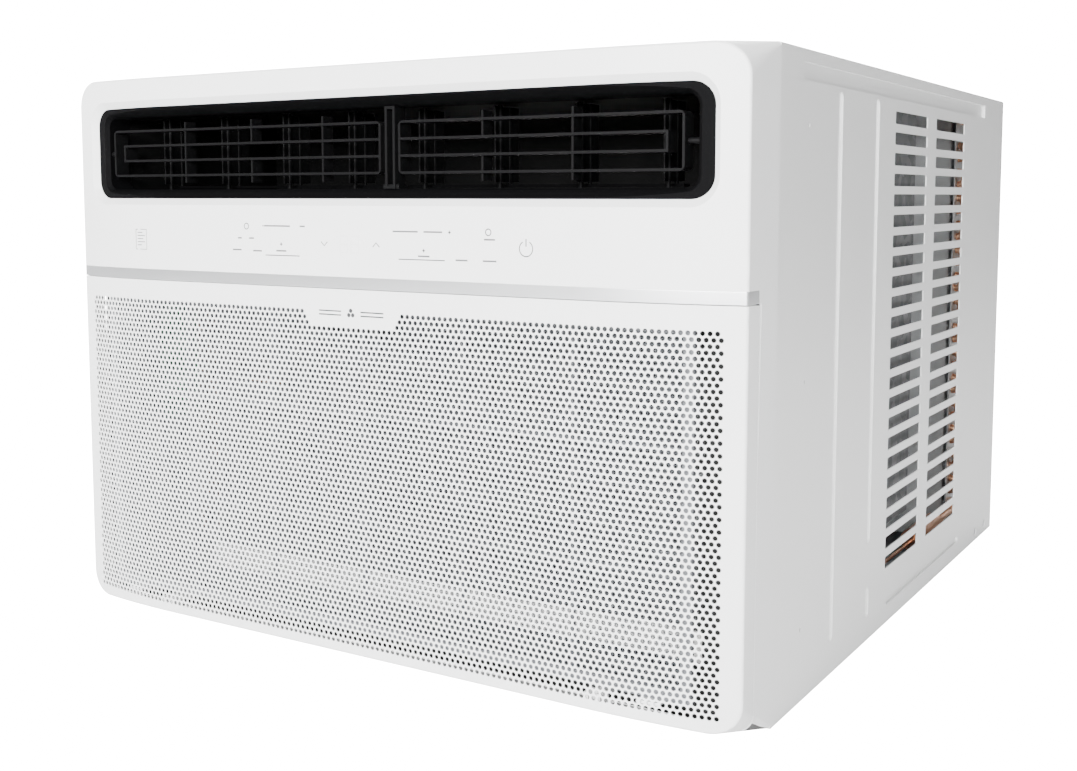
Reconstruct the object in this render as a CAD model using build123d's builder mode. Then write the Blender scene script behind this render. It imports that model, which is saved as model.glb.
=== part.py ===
"""Window air conditioner: a steel cabinet, a moulded front and a complete cooling chassis.

Millimetres. +X is to the right of a person facing the front, +Y runs from the front to the rear
and +Z is up. The origin is at the middle of the footprint, on the surface the cabinet stands on.
Depths are measured back from the flat middle of the front.
"""
from build123d import *
import math
import os

os.makedirs("parts", exist_ok=True)

# ---------------------------------------------------------------- overall sizes
WIDTH = 604.0
DEPTH = 692.0
HEIGHT = 450.0
FRONT = -DEPTH / 2
HALF = WIDTH / 2

# ---------------------------------------------------------------- clearances
RUNNING = 0.05          # radial, pivot pins in their holes
SEAM = 0.5              # between mouldings that open or butt
SOFT = 0.4              # round foam and rubber
SWING_GAP = 0.2         # under the trim, while the inlet panel opens

# ---------------------------------------------------------------- fascia
FASCIA_DEPTH = 62.0
FASCIA_WALL = 2.5
FRONT_BOTTOM = 12.5     # height of the front's lower edge
FRONT_TOP = HEIGHT - 4.0
CORNER_FRONT = 28.0
CORNER_REAR = 3.0
FLAT_HALF = 190.0       # the front is flat this far each side of the middle
END_SETBACK = 14.0      # and curves back this much at its ends
EDGE_ROUND = 2.5

# ---------------------------------------------------------------- inlet panel and trim
PANEL_TOP = 284.8
PANEL_RETURN = 32.0
PANEL_SKIN = 1.6
TRIM_HEIGHT = 8.5
TRIM_THICK = 1.6
TRIM_BOTTOM = PANEL_TOP + SEAM
INTAKE_DEPTH = 40.0     # depth of the wall behind the inlet panel
INTAKE_HALF = 262.0
INTAKE_BOTTOM = 30.0
INTAKE_TOP = 268.0
FINGER_GAP = 3.0        # widest part of the finger gap, under the trim
FINGER_FOOT = 169.0     # height where the finger gap runs out
HINGE_DEPTH = 11.0
HINGE_Z = 20.0
HINGE_PIN_R = 2.0
HINGE_X = 200.0

# ---------------------------------------------------------------- air filter
FILTER_HALF = 268.0
FILTER_BOTTOM = 26.0
FILTER_TOP = 274.0
FILTER_DEPTH = 10.0
FILTER_THICK = 5.0
FILTER_RAIL = 8.0

# ---------------------------------------------------------------- outlet
OUTLET_MID = 386.8
LIP_HALF = 267.5
LIP_HEIGHT = 58.5
FUNNEL_SIDE = 11.5      # how much wider the mouth is than the lip, at each end
FUNNEL_RISE = 7.25      # and above and below it
MOUTH_HALF = LIP_HALF + FUNNEL_SIDE
MOUTH_HEIGHT = LIP_HEIGHT + 2 * FUNNEL_RISE
MOUTH_RADIUS = 15.0
LIP_RADIUS = 8.0
LIP_DEPTH = 15.0
BEZEL_DEPTH = 36.0
BEZEL_WALL = 2.0

# ---------------------------------------------------------------- louvers
BLADE_PITCH = 12.0
BLADE_COUNT = 4
BLADE_THICK = 1.8
BLADE_CHORD = 13.0
LOUVER_DEPTH = 18.5     # depth of the tilt axis
LOOP_OUTER = 259.0
LOOP_INNER = 247.5
LOUVER_PIN_R = 2.0
LOUVER_SPLIT = (19.6, 35.4)
RIB_PITCH = 71.1
RIB_THICK = 1.6
RIB_REACH = 24.0        # ribs stand this far above and below the middle
WHOLE_RIBS = (-2.5, -0.5, 2.5)   # in pitches from the middle
SPLIT_RIBS = (-1.5, 1.5)
POST_BARS = (24.0, 31.0)
POST_BAR_THICK = 2.0

# ---------------------------------------------------------------- swing vanes
VANE_COUNT = 8
VANE_PITCH = 66.0
VANE_AXIS_DEPTH = 47.0
VANE_FRONT = 7.0
VANE_BACK = 24.0
VANE_THICK = 1.6
VANE_PIN_R = 1.6
VANE_ARM = 12.0
VANE_SWING = 28.0       # degrees each way
LINK_WIDTH = 9.0
LINK_THICK = 2.0
LINK_FLOOR = 1.0        # clearance under the link

# ---------------------------------------------------------------- cabinet
SHEET = 1.0
FLOOR_SHEET = 1.2
REAR_FLANGE = 16.0
LIP_BACKSET = 9.0
LIP_CORNER = 12.0
BEAD_DEPTH = 2.0
BEAD_WIDTH = 9.0
BEAD_1 = 179.0          # depths of the two upright beads
BEAD_2 = 265.0
BEAD_TOP = 429.0
BEAD_1_FOOT = 25.0
BEAD_2_FOOT = 79.0
SLOT_FOOT = (19.0, 44.0)
CHANNEL = (104.0, 612.0)
CHANNEL_Z = (429.0, 441.0)
CHANNEL_DEPTH = 3.0
GROOVE = (317.0, 552.0)
GROOVE_Z = (15.0, 21.0)
VENT_COLUMNS = ((312.0, 94.0), (434.0, 99.0))   # start depth and length
VENT_ROWS = 23
VENT_PITCH = 16.48
VENT_HEIGHT = 10.0
VENT_TOP = 419.6
VENT_RADIUS = 1.6
CURTAIN_DEPTH = 115.0
CURTAIN_Z = 226.0
CURTAIN_PITCH = 173.5
CURTAIN_HOLE_R = 1.6
CORNER_SCREWS = (624.0, 662.0)
CORNER_SCREW_Z = 9.0

# ---------------------------------------------------------------- chassis
PAN_SHEET = 1.2
PAN_EDGE = 24.0
PAN_GAP = 3.0           # between the fascia and the pan
PAN_FRONT = FASCIA_DEPTH + PAN_GAP
PAN_REAR = 684.0
PAN_HALF = HALF - SHEET - CHANNEL_DEPTH - 2.0
BULKHEAD_DEPTH = 219.0
BULKHEAD_THICK = 4.0
SEAL_THICK = 3.0

COIL_LEFT = -210.0
COIL_RIGHT = 255.0
COIL_BOTTOM = 50.0
COIL_TOP = 344.0
COIL_FRONT = 74.0
COIL_THICK = 40.0
COIL_ROWS = 10
BEND_R = 4.0
END_PLATE = 1.2

FAN_X = 22.0
FAN_Z = 212.0
SHAFT_R = 6.0
WHEEL_R = 110.0
WHEEL_FRONT = 136.0
WHEEL_WIDTH = 66.0
WHEEL_BLADES = 40
SCROLL_FRONT = 122.0
SCROLL_BACK = 214.0
SCROLL_WALL = 3.0
INLET_R = 86.0
DUCT_WALL = 2.0
DUCT_FRONT = BEZEL_DEPTH + 0.2
DUCT_BACK = 216.0

MOTOR_FRONT = 340.0
MOTOR_LENGTH = 88.0
MOTOR_R = 66.0
MOTOR_WALL = 2.0
BEARING_R = 13.0
BEARING_LENGTH = 14.0
BRACKET_SHEET = 2.5
BRACKET_HALF = 84.0

PROP_R = 176.0
PROP_FRONT = 564.0
PROP_HUB_R = 34.0
PROP_HUB_LENGTH = 34.0
PROP_BLADES = 5
SLINGER_R = 3.0
SHROUD_DEPTH = 548.0
SHROUD_CLEAR = 7.0
SHROUD_WALL = 2.0

COND_DEPTH = 624.0
COND_THICK = 42.0
COND_HALF = 272.0
COND_BOTTOM = 14.0
COND_TOP = 436.0
COND_ROWS = 16

COMP_X = 190.0
COMP_DEPTH = 322.0
COMP_R = 68.0
COMP_BOTTOM = 34.0
COMP_TOP = 286.0
COMP_DOME = 22.0
COMP_FEET_R = 88.0
GROMMET_R = 11.0
STUD_R = 3.0
ACC_X = 262.0
ACC_DEPTH = 414.0
ACC_R = 27.0
ACC_BOTTOM = 70.0
ACC_TOP = 250.0
TUBE_R = 5.0
SUCTION_R = 6.5
CAPILLARY_R = 1.6
DRIER_R = 11.0

BOX_LEFT = -296.0
BOX_RIGHT = -230.0
BOX_FRONT = 72.0
BOX_BACK = 204.0
BOX_BOTTOM = 62.0
BOX_TOP = 340.0
BOX_SHEET = 1.2
GLAND_DEPTH = 51.0
GLAND_Z = 60.0
GLAND_BORE_R = 4.2
GLAND_SHANK = 7.0       # half side of its square shank
GLAND_FLANGE = 9.0      # half side of its square flange
GLAND_CORNER = 2.0
GLAND_LENGTH = 16.0

# ---------------------------------------------------------------- smaller features
COLLAR_WALL = 7.0
COLLAR_DEPTH = 16.0
RIM_BEVEL = 5.0
LUG_THICK = 4.0
LUG_R = 4.5
HOOK_X = 240.0
LOOP_ROUND = 4.0
LINK_SLACK = 0.35
SWING_MOTOR_R = 14.0
SWING_MOTOR_HEIGHT = 18.0
FILTER_BARS = 5
FILTER_RUNGS = 2
FASCIA_SCREW_X = 284.0
FASCIA_SCREW_Z = 18.0
SCREW_R = 1.9
SCREW_HEAD_R = 4.0
BOSS_R = 5.0
DISPLAY_HALF = 130.0
DISPLAY_Z = (301.0, 335.0)
DISPLAY_DEPTH = 5.5
GLAND_POCKET = 2.2
WRAP_BEND = 2.0
SCREW_SINK = 1.8
FLOOR_TAB = 16.0
DRAIN_R = 6.0
DRAIN_X = -150.0
DRAIN_DEPTH = 500.0
SCROLL_LEFT = 122.0
SCROLL_RIGHT = 140.0
COND_BEND_R = 3.5
PROP_PITCH = 26.0
TRAY_BOTTOM = 32.0
MOTOR_BOLT_R = 2.5
COND_OUT_Z = COND_BOTTOM + 1.5 * (COND_TOP - COND_BOTTOM) / COND_ROWS / 2
EVAP_IN_Z = COIL_BOTTOM + (COIL_TOP - COIL_BOTTOM) / COIL_ROWS / 4
SUCTION_Z = COIL_TOP - (COIL_TOP - COIL_BOTTOM) / COIL_ROWS / 4
SUCTION_X = 285.0
DISCHARGE_X = 288.0
WIRE_X = -262.0
WIRE_Z = 150.0
WIRE_R = 4.0
CAPACITOR_R = 20.0
BAFFLE = (78.0, 432.0)  # heights of the baffle behind the front vents
BAFFLE_BACK = 398.0
BAFFLE_SHEET = 0.8
BAFFLE_FLANGE = 2.5
CAPACITOR_TALL = 78.0


# ---------------------------------------------------------------- helpers
def at(depth):
    """Y of a depth behind the middle of the front."""
    return FRONT + depth


def facing(depth):
    """Upright plane at a depth, seen from the front: local x is X and local y is Z."""
    return Plane.XZ.offset(-at(depth))


def across(x):
    """Upright plane at x, seen from the right: local x is Y and local y is Z."""
    return Plane.YZ.offset(x)


def slab(x, depth, z, mode=Mode.ADD):
    """Box between pairs of x, depth and height, in the part being built."""
    with Locations(((x[0] + x[1]) / 2, at((depth[0] + depth[1]) / 2), (z[0] + z[1]) / 2)):
        Box(x[1] - x[0], depth[1] - depth[0], z[1] - z[0], mode=mode)


def rod(radius, start, end, mode=Mode.ADD):
    """Round bar between two points given as x, depth and height, along one axis."""
    a = Vector(start[0], at(start[1]), start[2])
    b = Vector(end[0], at(end[1]), end[2])
    plane = Plane(origin=a, z_dir=b - a)
    with BuildSketch(plane) as disc:
        Circle(radius)
    extrude(disc.sketch, amount=(b - a).length, mode=mode)


def ring_of(radius, count, centre, start=0.0):
    """Centres of a ring of upright axes, as x and y, round a centre given as x and depth."""
    turns = [math.radians(start + 360 * i / count) for i in range(count)]
    return [(centre[0] + radius * math.cos(t), at(centre[1]) + radius * math.sin(t)) for t in turns]


def save(builder, label):
    """Label a finished piece and write its STEP file."""
    builder.part.label = label
    export_step(builder.part, f"parts/{label}.step")


def front_plan(shift):
    """Plan region behind the curved front line, moved back by a shift."""
    edge = HALF + 1
    bow = END_SETBACK * ((edge - FLAT_HALF) / (HALF - FLAT_HALF)) ** 2
    with BuildSketch(Plane.XY) as plan:
        with BuildLine():
            Line((-FLAT_HALF, at(shift)), (FLAT_HALF, at(shift)))
            TangentArc((FLAT_HALF, at(shift)), (edge, at(shift + bow)), tangent=(1, 0))
            Polyline((edge, at(shift + bow)), (edge, at(FASCIA_DEPTH)), (-edge, at(FASCIA_DEPTH)),
                     (-edge, at(shift + bow)))
            TangentArc((-FLAT_HALF, at(shift)), (-edge, at(shift + bow)), tangent=(-1, 0))
        make_face()
    return plan.sketch


def front_form(inset, shift, rounding=0.0):
    """Body of the whole front, its outline drawn in by an inset and its face moved back."""
    with BuildPart() as form:
        with BuildSketch(facing(0)):
            with Locations((0, (FRONT_BOTTOM + FRONT_TOP) / 2)):
                RectangleRounded(WIDTH - 2 * inset, FRONT_TOP - FRONT_BOTTOM - 2 * inset,
                                 CORNER_FRONT - inset)
        with BuildSketch(facing(FASCIA_DEPTH)):
            with Locations((0, HEIGHT / 2)):
                RectangleRounded(WIDTH - 2 * inset, HEIGHT - 2 * inset,
                                 max(CORNER_REAR - inset, 0.5))
        loft(ruled=True)
        extrude(front_plan(shift), amount=HEIGHT + 1, mode=Mode.INTERSECT)
        if rounding:
            rim = [e for e in form.edges() if e.center().Y < at(END_SETBACK + 0.5)
                   and not (abs(abs(e.center().X) - FLAT_HALF) < 0.01 and e.length > HEIGHT / 2)]
            fillet(rim, rounding)
    return form.part


def loft_between(depth_a, size_a, depth_b, size_b, mode=Mode.ADD):
    """Rounded-rectangle funnel in the outlet; sizes are half width, height and corner."""
    with BuildSketch(facing(depth_a)) as first:
        with Locations((0, OUTLET_MID)):
            RectangleRounded(2 * size_a[0], size_a[1], size_a[2])
    with BuildSketch(facing(depth_b)) as second:
        with Locations((0, OUTLET_MID)):
            RectangleRounded(2 * size_b[0], size_b[1], size_b[2])
    loft([first.sketch, second.sketch], ruled=True, mode=mode)


def gland_block(half, x, mode=Mode.ADD):
    """Square block with rounded corners on the cord gland's axis, between two x."""
    with BuildSketch(across(x[0])) as outline:
        with Locations((at(GLAND_DEPTH), GLAND_Z)):
            RectangleRounded(2 * half, 2 * half, GLAND_CORNER)
    extrude(outline.sketch, amount=x[1] - x[0], mode=mode)


def tube(radius, points, bend, bore=0.0):
    """Bent tube through points given as x, depth and height."""
    route = [Vector(p[0], at(p[1]), p[2]) for p in points]
    with BuildPart() as pipe:
        with BuildLine() as path:
            FilletPolyline(*route, radius=bend)
        with BuildSketch(Plane(origin=route[0], z_dir=route[1] - route[0])):
            Circle(radius)
            if bore:
                Circle(bore, mode=Mode.SUBTRACT)
        sweep(path=path.line)
    return pipe.part


FRONT_OUTER = front_form(0, 0, EDGE_ROUND)
FRONT_INNER = front_form(FASCIA_WALL, FASCIA_WALL)
TRIM_INNER = front_form(TRIM_THICK, TRIM_THICK)
PANEL_INNER = front_form(FASCIA_WALL, PANEL_SKIN)

TRIM_TOP = TRIM_BOTTOM + TRIM_HEIGHT
LIP = (LIP_HALF, LIP_HEIGHT, LIP_RADIUS)
LIP_LOW = OUTLET_MID - LIP_HEIGHT / 2
LIP_HIGH = OUTLET_MID + LIP_HEIGHT / 2
ALL_X = (-WIDTH, WIDTH)
PAN_TOP = FLOOR_SHEET + PAN_SHEET

# ================================================================ front: fascia
# The fascia is one hollow moulding. Below the trim it steps back to make room for the panel.
with BuildPart() as upper_room:
    add(FRONT_INNER)
    slab(ALL_X, (-10, FASCIA_DEPTH + 10), (-1, TRIM_TOP + FASCIA_WALL), Mode.SUBTRACT)

with BuildPart() as rear_room:
    add(FRONT_INNER)
    slab(ALL_X, (-10, INTAKE_DEPTH + FASCIA_WALL), (-1, HEIGHT + 1), Mode.SUBTRACT)

with BuildPart() as step_room:
    add(FRONT_INNER)
    slab(ALL_X, (-10, INTAKE_DEPTH), (-1, TRIM_BOTTOM), Mode.INTERSECT)

with BuildPart() as trim_strip:
    add(FRONT_OUTER)
    slab(ALL_X, (-10, PANEL_RETURN), (TRIM_BOTTOM, TRIM_TOP), Mode.INTERSECT)
    add(TRIM_INNER, mode=Mode.SUBTRACT)
save(trim_strip, "trim_strip")

with BuildPart() as outlet_collar:
    with BuildSketch(facing(0)):
        with Locations((0, OUTLET_MID)):
            RectangleRounded(2 * MOUTH_HALF + 2 * COLLAR_WALL, MOUTH_HEIGHT + 2 * COLLAR_WALL,
                             MOUTH_RADIUS + COLLAR_WALL)
    extrude(amount=-COLLAR_DEPTH)
    add(FRONT_OUTER, mode=Mode.INTERSECT)

with BuildPart() as fascia:
    add(FRONT_OUTER)
    slab(ALL_X, (-10, PANEL_RETURN + SEAM), (-1, TRIM_BOTTOM), Mode.SUBTRACT)
    for room in (upper_room, rear_room, step_room):
        add(room.part, mode=Mode.SUBTRACT)
    add(outlet_collar.part)
    with BuildSketch(facing(0)) as mouth_outline:
        with Locations((0, OUTLET_MID)):
            RectangleRounded(2 * MOUTH_HALF, MOUTH_HEIGHT, MOUTH_RADIUS)
    extrude(mouth_outline.sketch, amount=-FASCIA_DEPTH, mode=Mode.SUBTRACT)
    rim = [e for e in fascia.edges() if abs(e.center().Z - OUTLET_MID) <= MOUTH_HEIGHT / 2 + 0.1
           and abs(e.center().X) <= MOUTH_HALF + 0.1 and e.center().Y < at(END_SETBACK)]
    chamfer(rim, RIM_BEVEL)
    add(trim_strip.part, mode=Mode.SUBTRACT)
    slab((-INTAKE_HALF, INTAKE_HALF), (INTAKE_DEPTH - 1, INTAKE_DEPTH + FASCIA_WALL + 1),
         (INTAKE_BOTTOM, INTAKE_TOP), Mode.SUBTRACT)
    with BuildSketch(across(-WIDTH / 2 - 1)) as finger_gap:
        with BuildLine():
            Polyline((at(PANEL_RETURN), FINGER_FOOT), (at(PANEL_RETURN + SEAM), FINGER_FOOT),
                     (at(PANEL_RETURN + SEAM + FINGER_GAP), TRIM_BOTTOM),
                     (at(PANEL_RETURN), TRIM_BOTTOM), close=True)
        make_face()
    extrude(finger_gap.sketch, amount=WIDTH + 2, mode=Mode.SUBTRACT)
    for side in (-1, 1):
        lug = (side * HINGE_X - LUG_THICK / 2, side * HINGE_X + LUG_THICK / 2)
        slab(lug, (HINGE_DEPTH, INTAKE_DEPTH + 0.1), (HINGE_Z - 3.5, HINGE_Z + 4.5))
        rod(LUG_R, (lug[0], HINGE_DEPTH, HINGE_Z), (lug[1], HINGE_DEPTH, HINGE_Z))
        rod(HINGE_PIN_R + RUNNING, (lug[0] - 1, HINGE_DEPTH, HINGE_Z),
            (lug[1] + 1, HINGE_DEPTH, HINGE_Z), Mode.SUBTRACT)
        boss = (side * FASCIA_SCREW_X, FASCIA_SCREW_Z)
        rod(BOSS_R, (boss[0], INTAKE_DEPTH + 0.1, boss[1]), (boss[0], PAN_FRONT, boss[1]))
        rod(SCREW_R, (boss[0], INTAKE_DEPTH - 1, boss[1]), (boss[0], PAN_FRONT + 1, boss[1]),
            Mode.SUBTRACT)
        for z in (DISPLAY_Z[0] + 6, DISPLAY_Z[1] - 6):
            post = (side * (DISPLAY_HALF - 8), z)
            rod(3.0, (post[0], FASCIA_WALL - 0.5, z), (post[0], DISPLAY_DEPTH, z))
    gland_back = -HALF + GLAND_POCKET + 2 * FASCIA_WALL
    gland_block(GLAND_FLANGE + 2, (-HALF + 1, gland_back))
    gland_block(GLAND_FLANGE, (-HALF - 1, -HALF + GLAND_POCKET), Mode.SUBTRACT)
    gland_block(GLAND_SHANK, (-HALF - 1, gland_back + 1), Mode.SUBTRACT)
save(fascia, "fascia")

with BuildPart() as fascia_screws:
    for side in (-1, 1):
        x = side * FASCIA_SCREW_X
        rod(SCREW_R, (x, INTAKE_DEPTH - 0.1, FASCIA_SCREW_Z), (x, PAN_FRONT + 3, FASCIA_SCREW_Z))
        rod(SCREW_HEAD_R, (x, INTAKE_DEPTH - 2.4, FASCIA_SCREW_Z), (x, INTAKE_DEPTH, FASCIA_SCREW_Z))
save(fascia_screws, "fascia_screws")

with BuildPart() as cord_gland:
    gland_block(GLAND_FLANGE - 0.3, (-HALF + 0.2, -HALF + GLAND_POCKET))
    gland_block(GLAND_SHANK, (-HALF + GLAND_POCKET - 0.1, -HALF + GLAND_LENGTH))
    rod(GLAND_BORE_R, (-HALF - 1, GLAND_DEPTH, GLAND_Z), (-HALF + GLAND_LENGTH + 1, GLAND_DEPTH, GLAND_Z),
        Mode.SUBTRACT)
save(cord_gland, "cord_gland")

with BuildPart() as display_board:
    slab((-DISPLAY_HALF, DISPLAY_HALF), (DISPLAY_DEPTH, DISPLAY_DEPTH + 1.6), DISPLAY_Z)
    slab((-16, 16), (DISPLAY_DEPTH - 2, DISPLAY_DEPTH), (DISPLAY_Z[0] + 9, DISPLAY_Z[1] - 9))
save(display_board, "display_board")

# ================================================================ front: inlet panel and filter
with BuildPart() as panel_room:
    add(PANEL_INNER)
    slab(ALL_X, (-10, PANEL_RETURN + 1), (-1, PANEL_TOP - FASCIA_WALL), Mode.INTERSECT)

with BuildPart() as inlet_panel:
    add(FRONT_OUTER)
    slab(ALL_X, (-10, PANEL_RETURN), (-1, PANEL_TOP), Mode.INTERSECT)
    add(panel_room.part, mode=Mode.SUBTRACT)
    heel = PANEL_RETURN - HINGE_DEPTH
    with BuildSketch(across(-WIDTH)) as heel_corner:
        with Locations((at(HINGE_DEPTH + heel), HINGE_Z - heel)):
            Rectangle(2 * heel, 2 * heel)
        with Locations((at(HINGE_DEPTH), HINGE_Z)):
            Circle(heel, mode=Mode.SUBTRACT)
    extrude(heel_corner.sketch, amount=2 * WIDTH, mode=Mode.SUBTRACT)
    for side in (-1, 1):
        for ear in (-1, 1):
            inner = side * HINGE_X + ear * (LUG_THICK / 2 + 1)
            ear_x = (min(inner, inner + ear * 3), max(inner, inner + ear * 3))
            slab(ear_x, (PANEL_SKIN - 0.5, HINGE_DEPTH), (HINGE_Z - 8, HINGE_Z + 4))
            rod(4.0, (ear_x[0], HINGE_DEPTH, HINGE_Z), (ear_x[1], HINGE_DEPTH, HINGE_Z))
        rod(HINGE_PIN_R, (side * HINGE_X - LUG_THICK / 2 - 1.5, HINGE_DEPTH, HINGE_Z),
            (side * HINGE_X + LUG_THICK / 2 + 1.5, HINGE_DEPTH, HINGE_Z))
        for edge, inward in ((FILTER_TOP + 0.3, -1), (FILTER_BOTTOM - 0.3, 1)):
            hook_x = (side * HOOK_X - 8, side * HOOK_X + 8)
            back = FILTER_DEPTH + FILTER_THICK + 0.3
            z = sorted((edge, edge - inward * 2.0))
            slab(hook_x, (PANEL_SKIN - 0.5, back + 1.5), z)
            lip = sorted((edge - inward * 2.0, edge + inward * 3.0))
            slab(hook_x, (back, back + 1.5), lip)
        notch = LUG_THICK / 2 + 1
        slab((side * HINGE_X - notch, side * HINGE_X + notch), (HINGE_DEPTH - 1, PANEL_RETURN + 1),
             (-1, HINGE_Z - LUG_R - 1), Mode.SUBTRACT)
    add(FRONT_OUTER, mode=Mode.INTERSECT)
    # the panel's top swings up as it opens, so its rear edge is relieved to pass under the trim
    rod(TRIM_BOTTOM - SWING_GAP - HINGE_Z, (-WIDTH, HINGE_DEPTH, HINGE_Z),
        (WIDTH, HINGE_DEPTH, HINGE_Z), Mode.INTERSECT)
save(inlet_panel, "inlet_panel")

with BuildPart() as filter_frame:
    thick = (FILTER_DEPTH, FILTER_DEPTH + FILTER_THICK)
    slab((-FILTER_HALF, FILTER_HALF), thick, (FILTER_BOTTOM, FILTER_TOP))
    slab((-FILTER_HALF + FILTER_RAIL, FILTER_HALF - FILTER_RAIL), (thick[0] - 1, thick[1] + 1),
         (FILTER_BOTTOM + FILTER_RAIL, FILTER_TOP - FILTER_RAIL), Mode.SUBTRACT)
    rib = (FILTER_DEPTH + 2, FILTER_DEPTH + FILTER_THICK)
    for i in range(1, FILTER_BARS + 1):
        x = -FILTER_HALF + i * 2 * FILTER_HALF / (FILTER_BARS + 1)
        slab((x - 1.5, x + 1.5), rib, (FILTER_BOTTOM + 1, FILTER_TOP - 1))
    for i in range(1, FILTER_RUNGS + 1):
        z = FILTER_BOTTOM + i * (FILTER_TOP - FILTER_BOTTOM) / (FILTER_RUNGS + 1)
        slab((-FILTER_HALF + 1, FILTER_HALF - 1), rib, (z - 1.5, z + 1.5))
save(filter_frame, "filter_frame")

with BuildPart() as filter_mesh:
    slab((-FILTER_HALF + FILTER_RAIL, FILTER_HALF - FILTER_RAIL), (FILTER_DEPTH + 1.2, FILTER_DEPTH + 2),
         (FILTER_BOTTOM + FILTER_RAIL, FILTER_TOP - FILTER_RAIL))
save(filter_mesh, "filter_mesh")

# ================================================================ outlet: bezel and post
BEZEL_SIZE = (MOUTH_HALF - 0.2, MOUTH_HEIGHT - 0.4, MOUTH_RADIUS - 0.2)
with BuildPart() as bezel_front:
    with BuildSketch(facing(0)):
        with Locations((0, OUTLET_MID)):
            RectangleRounded(2 * BEZEL_SIZE[0], BEZEL_SIZE[1], BEZEL_SIZE[2])
    extrude(amount=-(LIP_DEPTH + BEZEL_WALL))
    extrude(front_plan(RIM_BEVEL), amount=HEIGHT, mode=Mode.INTERSECT)

with BuildPart() as outlet_bezel:
    add(bezel_front.part)
    with BuildSketch(facing(LIP_DEPTH)) as sleeve:
        with Locations((0, OUTLET_MID)):
            RectangleRounded(2 * (LIP_HALF + BEZEL_WALL), LIP_HEIGHT + 2 * BEZEL_WALL,
                             LIP_RADIUS + BEZEL_WALL)
    extrude(sleeve.sketch, amount=-(BEZEL_DEPTH - LIP_DEPTH))
    loft_between(RIM_BEVEL - 0.1, (BEZEL_SIZE[0] - 0.8, BEZEL_SIZE[1] - 1.6, BEZEL_SIZE[2]),
                 LIP_DEPTH, LIP, Mode.SUBTRACT)
    with BuildSketch(facing(LIP_DEPTH - 0.1)) as throat:
        with Locations((0, OUTLET_MID)):
            RectangleRounded(2 * LIP_HALF, LIP_HEIGHT, LIP_RADIUS)
    extrude(throat.sketch, amount=-(BEZEL_DEPTH - LIP_DEPTH + 1), mode=Mode.SUBTRACT)
    for side in (-1, 1):
        rod(LOUVER_PIN_R + RUNNING, (side * (LIP_HALF - 1), LOUVER_DEPTH, OUTLET_MID),
            (side * (LIP_HALF + BEZEL_WALL + 6), LOUVER_DEPTH, OUTLET_MID), Mode.SUBTRACT)
save(outlet_bezel, "outlet_bezel")

POST_DEPTH = (LOUVER_DEPTH - 6, LOUVER_DEPTH + 6)
with BuildPart() as centre_post:
    for x in POST_BARS:
        slab((x - POST_BAR_THICK / 2, x + POST_BAR_THICK / 2), POST_DEPTH, (LIP_LOW, LIP_HIGH))
        rod(LOUVER_PIN_R + RUNNING, (x - 3, LOUVER_DEPTH, OUTLET_MID), (x + 3, LOUVER_DEPTH, OUTLET_MID),
            Mode.SUBTRACT)
    bridge = (POST_BARS[0] - 0.5, POST_BARS[1] + 0.5)
    slab(bridge, POST_DEPTH, (LIP_LOW, LIP_LOW + 2))
    slab(bridge, POST_DEPTH, (LIP_HIGH - 2, LIP_HIGH))
    foot = (POST_BARS[0] - 3.5, POST_BARS[1] + 3.5)
    slab(foot, (LIP_DEPTH - 1.5, POST_DEPTH[1]), (LIP_LOW, LIP_LOW + 3))
save(centre_post, "centre_post")


# ================================================================ outlet: louvers
def louver(outer, inner):
    """One tilting louver between its outer end and the end beside the post, as signed x."""
    side = math.copysign(1, outer)
    span = BLADE_PITCH * (BLADE_COUNT - 1)
    with BuildPart() as grille:
        with BuildSketch(facing(LOUVER_DEPTH - BLADE_CHORD / 2)) as face:
            for end, height in ((outer, span), (side * LOOP_INNER, span - 2 * BLADE_PITCH)):
                length = abs(end - inner)
                with Locations(((end + inner) / 2, OUTLET_MID)):
                    RectangleRounded(length, height + BLADE_THICK, LOOP_ROUND)
            with Locations(((side * LOOP_INNER + inner) / 2, OUTLET_MID)):
                Rectangle(abs(side * LOOP_INNER - inner) - 2 * BLADE_THICK, BLADE_PITCH - BLADE_THICK,
                          mode=Mode.SUBTRACT)
            for step in (-BLADE_PITCH, BLADE_PITCH):
                with Locations(((outer + inner) / 2, OUTLET_MID + step)):
                    Rectangle(abs(outer - inner) - 2 * BLADE_THICK, BLADE_PITCH - BLADE_THICK,
                              mode=Mode.SUBTRACT)
            gap = abs(outer) - LOOP_INNER
            with Locations((side * (LOOP_INNER + gap / 2 - BLADE_THICK / 2), OUTLET_MID)):
                Rectangle(gap - BLADE_THICK, span - BLADE_THICK, mode=Mode.SUBTRACT)
        extrude(face.sketch, amount=-BLADE_CHORD)
        half_gap = BLADE_PITCH / 2
        for pitches, runs in ((WHOLE_RIBS, ((-RIB_REACH, RIB_REACH),)),
                              (SPLIT_RIBS, ((-RIB_REACH, -half_gap), (half_gap, RIB_REACH)))):
            for x in (k * RIB_PITCH for k in pitches if side * k > 0):
                for low, high in runs:
                    slab((x - RIB_THICK / 2, x + RIB_THICK / 2),
                         (LOUVER_DEPTH - BLADE_CHORD / 2 + 1, LOUVER_DEPTH + BLADE_CHORD / 2 - 1),
                         (OUTLET_MID + low, OUTLET_MID + high))
        rod(LOUVER_PIN_R, (outer - side * BLADE_THICK / 2, LOUVER_DEPTH, OUTLET_MID),
            (side * (LIP_HALF + BEZEL_WALL - 0.4), LOUVER_DEPTH, OUTLET_MID))
        bar = POST_BARS[0] if side < 0 else POST_BARS[1]
        rod(LOUVER_PIN_R, (inner + side * BLADE_THICK / 2, LOUVER_DEPTH, OUTLET_MID),
            (bar - side * (POST_BAR_THICK / 2 - 0.3), LOUVER_DEPTH, OUTLET_MID))
    return grille


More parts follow.
